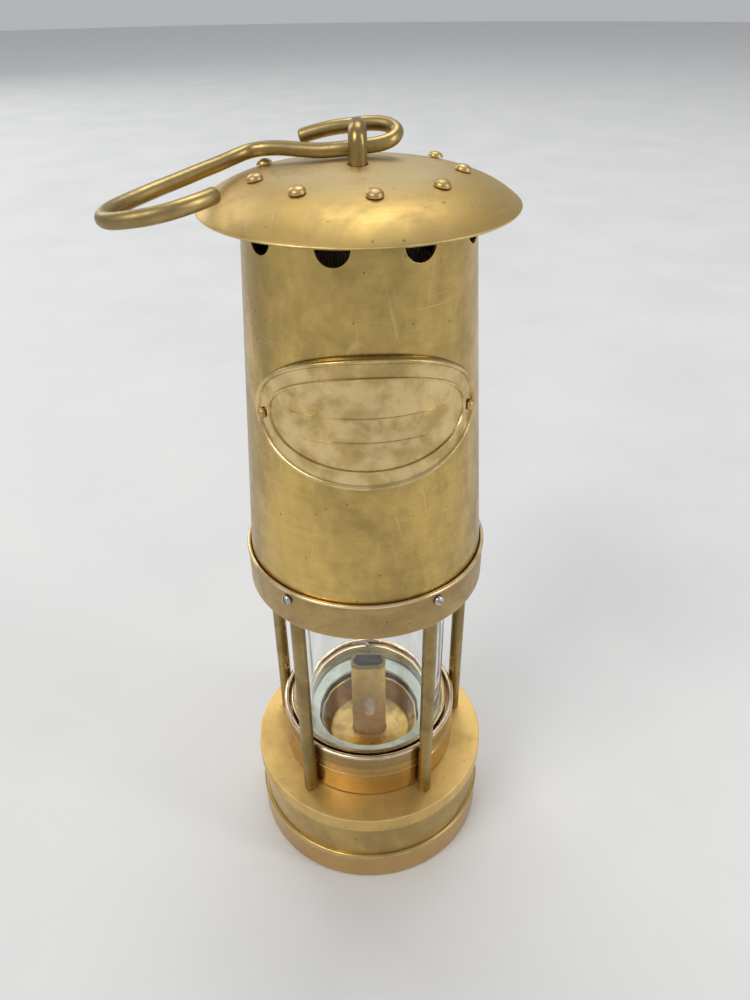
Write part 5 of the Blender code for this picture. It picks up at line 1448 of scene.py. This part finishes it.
@dataclass
class Bonnet:
    """The tapered bonnet with its vents, and the oval plate riveted to it."""

    finishes: Finishes
    form: HoodForm
    taper: float = 0.0633
    sheet: float = 0.0009
    flange_width: float = 0.0092
    vents: int = 9
    vent_radius: float = 0.0045
    vent_drop: float = 0.0147
    first_vent: float = -12.0
    plate_bearing: float = 2.6
    plate_arc: float = 0.070
    plate_tall: float = 0.0385
    plate_sheet: float = 0.0012
    ridge: float = 0.0006
    rivet_inset: float = 0.003
    rivet_drop: float = 0.0015
    rivet_radius: float = 0.0016
    rivet_height: float = 0.0012

    def radius_at(self, height: float) -> float:
        """Outer radius at a height."""
        return high("bonnet").x - self.taper * max(height - high("middle_band").z, 0.0)

    def build(self) -> None:
        """Make the bonnet, the plate and the plate's rivets."""
        self._shell()
        self._plate()
        for index, side in ((1, -1), (2, 1)):
            self._rivet(index, side)

    def _shell(self) -> None:
        """The sheet bonnet, turned in under the hood and pierced by the vents."""
        gap = self.form.sheet + FIT
        top_radius = self.radius_at(self.form.crown)
        bore = top_radius - self.flange_width
        top = self.form.height(top_radius) - gap
        outer = self.radius_at(top)
        waist, bottom, base = high("middle_band").z, low("bonnet").z, high("bonnet").x
        bend = 0.0016
        middle_radius = (outer + bore) / 2
        sheet = self.sheet
        corner = arc((outer - bend, top - bend), bend, 84, 4, 7)
        inner = arc((outer - bend, top - bend), bend - sheet, 4, 84, 7)
        profile = [(bore, self.form.height(bore) - gap), (middle_radius, self.form.height(middle_radius) - gap)]
        profile += corner + [(base, waist), (base, bottom), (base - sheet, bottom), (base - sheet, waist)]
        profile += inner + [(middle_radius, self.form.height(middle_radius) - gap - sheet),
                            (bore, self.form.height(bore) - gap - sheet)]
        level = self.form.crown - self.vent_drop
        lift = math.degrees(math.atan(self.taper))
        cutters = [Shape.cylinder(self.vent_radius, 0.010,
                                  outward_frame(self.first_vent + 360.0 * i / self.vents, self.radius_at(level),
                                                level, lift), 56) for i in range(self.vents)]
        shape = Shape.turned(profile, closed=True, steps=180).combined(cutters)

        def on_vent(edge: bmesh.types.BMEdge) -> bool:
            """Whether an edge lies on the outer mouth of a vent."""
            spots = [v.co for v in edge.verts]
            return all(abs(p.z - level) < self.vent_radius * 1.1
                       and p.xy.length > self.radius_at(p.z) - 0.0004 for p in spots)

        # The vents' outer mouths get a thin bright crest: a painted highlight where the light catches them,
        # with rubbed wear.
        shape.bevelled(0.00022, 50.0, where=on_vent)
        shape.piece("bonnet_shell", self.finishes.bonnet, Body.FRAME, Slot.BONNET, ["bonnet"])

    def _wrap(self, point: Vector) -> Vector:
        """Lay a flat point (across, up, out) on the bonnet's cone."""
        level = middle("name_plate").z + point.y
        turn = math.radians(self.plate_bearing) + point.x / self.radius_at(middle("name_plate").z)
        radius = self.radius_at(level) + FIT + point.z
        return Vector((radius * math.sin(turn), -radius * math.cos(turn), level))

    def _plate(self) -> None:
        """The oval plate: a raised rim, a plain border, an inner raised oval and two faint rules."""
        half_x, half_y, sheet, ridge = self.plate_arc / 2, self.plate_tall / 2, self.plate_sheet, self.ridge

        def shrunk(before: float, after: float) -> Matrix:
            """A matrix that takes the oval at one inset to the oval at another."""
            return Matrix.Diagonal(((half_x - after) / (half_x - before), (half_y - after) / (half_y - before),
                                    1.0, 1.0))

        # inset from the edge, and height: the rim, the border, the inner oval and the middle
        rings: list[Point2] = [(0.0, 0.0), (0.0, sheet - 0.00025), (0.00012, sheet - 0.00008), (0.0003, sheet),
                               (0.0005, sheet + ridge * 0.8), (0.0008, sheet + ridge), (0.0012, sheet + ridge),
                               (0.0015, sheet + ridge * 0.7), (0.0018, sheet - 0.0001)]
        rings += [(s, sheet - 0.0001) for s in (0.0028, 0.0038, 0.0048)]
        rings += [(0.0053, sheet), (0.0055, sheet + ridge * 0.7), (0.0058, sheet + ridge * 0.8),
                  (0.0061, sheet + ridge * 0.7), (0.0063, sheet - 0.0001)]
        rings += [(0.0063 + (half_y - 0.0063) * i / 8, sheet - 0.0001) for i in range(1, 9)]
        shape = Shape()
        steps = 160
        start = Matrix.Diagonal((half_x, half_y, 1.0, 1.0))
        made = bmesh.ops.create_circle(shape.bm, cap_ends=False, segments=steps, radius=1.0, matrix=start)
        ring = list({e for v in made["verts"] for e in v.link_edges})
        back = list(ring)
        for (s0, h0), (s1, h1) in zip(rings, rings[1:]):
            moved, ring = shape.drawn(ring, raised(h1 - h0) @ shrunk(s0, s1))
            # The raised ridges are marked bright: rubbed wear and a painted highlight.
            if h1 > sheet + ridge * 0.6:
                for vert in moved:
                    vert[shape.wear_and_glint] = 0.8
        ring = back
        for i in range(9):
            s0, s1 = half_y * i / 9, half_y * (i + 1) / 9
            _, ring = shape.drawn(ring, shrunk(s0, s1))
        shape.closed()
        for rule_y, rule_half in ((0.0022, 0.0215), (-0.0048, 0.0175)):
            rule = Shape()
            bmesh.ops.create_grid(rule.bm, x_segments=30, y_segments=1, size=1.0,
                                  matrix=Matrix.Translation((0.0, rule_y, sheet - 0.0003))
                                  @ Matrix.Diagonal((rule_half, 0.00022, 1.0, 1.0)))
            moved, _ = rule.lifted(list(rule.bm.faces), 0.00042)
            # The rules' tops are marked bright: rubbed wear and a painted highlight.
            for vert in moved:
                vert[rule.wear_and_glint] = 0.6
            shape.joined(rule.closed())
        for vert in shape.bm.verts:
            vert.co = self._wrap(vert.co)
        bmesh.ops.recalc_face_normals(shape.bm, faces=shape.bm.faces)
        shape.piece("oval_plate", self.finishes.plate, Body.FRAME, Slot.BONNET, ["name_plate"], crisp=45.0)

    def _rivet(self, index: int, side: int) -> None:
        """One rivet at an end of the plate.

        Args:
            index: the rivet's number.
            side: -1 for the left end, 1 for the right.
        """
        level = middle("name_plate").z - self.rivet_drop
        radius = self.radius_at(level)
        half = math.degrees((self.plate_arc / 2 - self.rivet_inset) / radius)
        place = outward_frame(self.plate_bearing + side * half, radius + self.plate_sheet + 2 * FIT, level,
                              math.degrees(math.atan(self.taper)))
        shape = domed_rivet(self.rivet_radius, self.rivet_height, 0.0009, 0.0035).moved(place)
        shape.piece(f"plate_stud_{index}", self.finishes.rivet, Body.FRAME, Slot.BONNET,
                    [f"plate_rivet_{index}"])


@dataclass
class Hood:
    """The spun hood, its rivets, and the staple with its nuts."""

    finishes: Finishes
    form: HoodForm
    rivets: int = 9
    rivet_radius: float = 0.0022
    rivet_height: float = 0.0015
    staple_rod: float = STAPLE_ROD
    staple_bend: float = 0.0034
    nut_flats: float = 0.0082

    def build(self) -> None:
        """Make the hood, the rivets, the staple and the nuts."""
        self._shell()
        for index in range(1, self.rivets + 1):
            self._rivet(index)
        self._staple()
        for index in (1, 2):
            self._nut(index)

    def _shell(self) -> None:
        """The hood as one sheet with a rounded rim."""
        rim, sheet = self.form.radius, self.form.sheet
        count = 34
        radii = [rim * (i / count) ** 0.75 for i in range(count + 1)]
        top = [(r, self.form.height(r)) for r in radii]
        under = []
        for r in reversed(radii[1:]):
            tilt = math.radians(self.form.slope(r))
            under.append((r - sheet * math.sin(tilt), self.form.height(r) - sheet * math.cos(tilt)))
        shape = Shape.turned(top + under + [(0.0, self.form.crown - sheet)], closed=False, steps=180)
        half = self._half_span()
        holes = [Shape.cylinder(self.staple_rod + FIT, 0.01,
                                Matrix.Translation((0.0, side * half, self.form.crown)), 32)
                 for side in (-1, 1)]
        # The rim's bevelled crests are painted bright: a highlight line with rubbed wear.
        shape.bevelled(0.0003, 40.0).combined(holes)
        shape.piece("hood_shell", self.finishes.hood, Body.FRAME, Slot.HOOD, ["hood"])

    def _half_span(self) -> float:
        """Half the distance between the middles of the staple's legs."""
        return high("staple").y - self.staple_rod

    def _rivet(self, index: int) -> None:
        """One rivet of the ring round the hood."""
        node = f"hood_rivet_{index}"
        circle = self._rivet_circle()
        slope = self.form.slope(circle)
        place = outward_frame(bearing_of(node), circle, self.form.height(circle), 90 - slope)
        shape = domed_rivet(self.rivet_radius, self.rivet_height, 0.0012, 0.0032)
        shape.moved(place @ raised(FIT))
        shape.piece(f"dome_rivet_{index}", self.finishes.rivet, Body.FRAME, Slot.HOOD, [node])

    def _rivet_circle(self) -> float:
        """Radius of the ring of rivets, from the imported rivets."""
        spots = [middle(f"hood_rivet_{i}").xy.length for i in range(1, self.rivets + 1)]
        return sum(spots) / len(spots)

    def _staple(self) -> None:
        """The round-topped staple."""
        half, rod, bend = self._half_span(), self.staple_rod, self.staple_bend
        bar, foot = high("staple").z - rod, low("staple").z
        line = [Vector((0.0, -half, foot)), Vector((0.0, -half, bar - bend - 0.001))]
        line += [Vector((0.0, y, z)) for y, z in arc((-half + bend, bar - bend), bend, 180, 90, 14)]
        line += [Vector((0.0, y, z)) for y, z in arc((half - bend, bar - bend), bend, 90, 0, 14)]
        line += [Vector((0.0, half, bar - bend - 0.001)), Vector((0.0, half, foot))]
        shape = Shape.swept(line, rod, 32)
        shape.piece("hook_staple", self.finishes.staple, Body.FRAME, Slot.HOOK, ["staple"])

    def _nut(self, index: int) -> None:
        """One hexagon nut under the hood."""
        node = f"staple_nut_{index}"
        start, end, _ = span(node)
        across = self.nut_flats / math.cos(math.radians(30)) / 2
        place = upright(node) @ raised((start + end) / 2)
        nut = Shape.cylinder(across, end - start, place, 6)
        nut.bevelled(0.0004, 70.0)
        nut.combined([Shape.cylinder(self.staple_rod + FIT, 0.02, place, 32)])
        nut.piece(f"hex_nut_{index}", self.finishes.steel, Body.FRAME, Slot.STEEL, [node], crisp=25.0)


# The hook's middle line about the staple's rear leg: angle from +X, gap between the rods, height above rest.
HOOK_ROUTE: tuple[tuple[float, float, float], ...] = (
    (161.57, 0.01214, 0.0010), (156.13, 0.00806, 0.0022), (143.56, 0.00378, 0.0032),
    (102.01, 0.00051, 0.0038), (48.99, 0.00180, 0.0042), (22.52, 0.00458, 0.0039),
    (2.78, 0.00601, 0.0027), (-16.46, 0.00488, 0.0013), (-40.03, 0.00223, 0.0004),
    (-90.00, 0.00070, 0.0000), (-135.58, 0.00270, -0.0005), (-161.22, 0.00626, -0.0010),
    (-177.05, 0.01122, -0.0011), (174.02, 0.01681, -0.0012), (171.09, 0.02151, -0.0016),
    (172.30, 0.02557, -0.0023), (178.63, 0.02911, -0.0032), (-173.22, 0.03296, -0.0039),
    (-166.09, 0.03814, -0.0046), (-160.81, 0.04377, -0.0054), (-156.52, 0.04967, -0.0061),
    (-153.52, 0.05536, -0.0069), (-150.88, 0.06003, -0.0074), (-147.61, 0.06403, -0.0076),
    (-143.50, 0.06698, -0.0076), (-139.29, 0.06760, -0.0071), (-135.40, 0.06592, -0.0063),
    (-132.04, 0.06289, -0.0055), (-129.57, 0.05927, -0.0047), (-128.15, 0.05495, -0.0040),
    (-127.56, 0.05082, -0.0035), (-127.75, 0.04781, -0.0032),
)


@dataclass
class Hook:
    """The hanging hook: one bent rod with an open bend and a small end beyond the staple."""

    finishes: Finishes
    rod: float = 0.0019
    touching: float = 0.0043        # both rods' radii: hook and staple
    route: tuple[tuple[float, float, float], ...] = HOOK_ROUTE

    def build(self) -> None:
        """Make the hook."""
        pivot = self._pivot()
        knots = []
        for angle, gap, height in self.route:
            turn = math.radians(angle)
            reach = self.touching + gap
            knots.append(pivot + Vector((reach * math.cos(turn), reach * math.sin(turn), height)))
        line = self._smooth(knots, 5)
        shape = Shape.swept(line, self.rod, 32, lambda s: min(1.0, 0.93 + 14 * min(s, 1 - s)))
        shape.bevelled(0.0003, 40.0)
        shape.piece("hanging_hook", self.finishes.hook, Body.HOOK, Slot.HOOK, ["hook"])

    def _pivot(self) -> Vector:
        """The point where the hook turns about the staple's rear leg."""
        return Vector((0.0, high("staple").y - STAPLE_ROD, high("hood").z + self.rod + FIT))

    @staticmethod
    def _smooth(knots: Sequence[Vector], pieces: int) -> list[Vector]:
        """Points along a smooth curve through the knots.

        Args:
            knots: points that the curve passes through.
            pieces: points made for each stretch.

        Returns:
            The points, ends included.
        """
        padded = [2 * knots[0] - knots[1], *knots, 2 * knots[-1] - knots[-2]]
        line = []
        for a, b, c, d in zip(padded, padded[1:], padded[2:], padded[3:]):
            for step in range(pieces):
                t = step / pieces
                line.append(0.5 * (2 * b + (c - a) * t + (2 * a - 5 * b + 4 * c - d) * t ** 2
                                   + (3 * b - a - 3 * c + d) * t ** 3))
        line.append(knots[-1].copy())
        return line


# ---------------------------------------------------------------- studio

@dataclass
class Studio:
    """The pale floor, the soft lights and the camera."""

    floor_radius: float = 6.0
    camera_place: tuple[float, float, float] = (0.0, -0.2209, 0.2954)
    camera_turns: tuple[float, float, float] = (-0.88, 56.22, -0.69)
    lens: float = 28.548

    def build(self) -> None:
        """Set the stage."""
        self._floor()
        self._world()
        self._light("key", (-1.7, -1.6, 2.4), 1.4, 1.4, 34.0, (1.0, 0.975, 0.94))
        self._light("fill", (2.2, -0.9, 1.2), 0.5, 1.8, 14.0, (0.97, 0.98, 1.0))
        self._light("top", (0.2, 1.2, 2.8), 1.6, 1.6, 26.0, (1.0, 0.99, 0.97))
        self._light("rear", (-1.5, 2.0, 1.4), 1.0, 1.6, 12.0, (0.98, 0.99, 1.0))
        self._camera()

    def _floor(self) -> None:
        """A wide pale floor with a faint mottle."""
        material, t, shader = new_material("studio_floor")
        cloud = t.noise(t.place(), 9.0, 5.0, 0.6)
        t.link(t.blend(t.ramp(cloud, 0.3, 0.7), (0.70, 0.70, 0.69), (0.74, 0.735, 0.72)),
                         shader.inputs["Base Color"])
        t.link(t.ramp(cloud, 0.3, 0.7, 0.55, 0.7), shader.inputs["Roughness"])
        shape = Shape()
        bmesh.ops.create_circle(shape.bm, cap_ends=True, segments=96, radius=self.floor_radius)
        mesh = bpy.data.meshes.new("studio_floor")
        shape.bm.to_mesh(mesh)
        shape.bm.free()
        mesh.materials.append(material)
        floor = bpy.data.objects.new("studio_floor", mesh)
        bpy.context.scene.collection.objects.link(floor)

    def _world(self) -> None:
        """Even soft surroundings."""
        world = bpy.data.worlds.new("studio_world")
        bpy.context.scene.world = world
        world.use_nodes = True
        back = world.node_tree.nodes["Background"]
        back.inputs["Color"].default_value = (0.80, 0.82, 0.86, 1.0)
        back.inputs["Strength"].default_value = 0.56
        bpy.context.scene.view_settings.view_transform = "Standard"

    def _light(self, name: str, place: tuple[float, float, float], wide: float, tall: float, power: float,
               colour: Colour) -> None:
        """A soft rectangular light aimed at the lamp.

        Args:
            name: the light's name.
            place: where it stands.
            wide: width.
            tall: height.
            power: watts.
            colour: its tint.
        """
        data = bpy.data.lights.new(name, "AREA")
        data.shape = "RECTANGLE"
        data.size, data.size_y = wide, tall
        data.energy = power
        data.color = colour
        light = bpy.data.objects.new(name, data)
        light.location = place
        aim = Vector((0.0, 0.0, 0.14)) - Vector(place)
        light.rotation_euler = aim.to_track_quat("-Z", "Y").to_euler()
        bpy.context.scene.collection.objects.link(light)

    def _camera(self) -> None:
        """The camera, looking down at the front of the lamp."""
        data = bpy.data.cameras.new("camera")
        data.sensor_width = 36.0
        data.lens = self.lens
        data.clip_start = 0.01
        camera = bpy.data.objects.new("camera", data)
        turn, pitch, roll = (math.radians(a) for a in self.camera_turns)
        camera.matrix_world = (Matrix.Translation(self.camera_place) @ Matrix.Rotation(turn, 4, "Z")
                               @ Matrix.Rotation(pitch, 4, "X") @ Matrix.Rotation(roll, 4, "Z"))
        bpy.context.scene.collection.objects.link(camera)
        bpy.context.scene.camera = camera


def main() -> None:
    """Load the frame, build every sub-assembly and set the stage."""
    logging.basicConfig(level=logging.INFO, format="%(message)s", stream=sys.stdout)
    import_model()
    finishes = Finishes(Groups())
    form = HoodForm()
    for assembly in (OilVessel(finishes), Burner(finishes), Underside(finishes), GlassHousing(finishes),
                     PillarFrame(finishes), GauzeStack(finishes), Bonnet(finishes, form),
                     Hood(finishes, form), Hook(finishes)):
        log.info("-- %s", type(assembly).__name__)
        assembly.build()
    Studio().build()


if __name__ == "__main__":
    main()
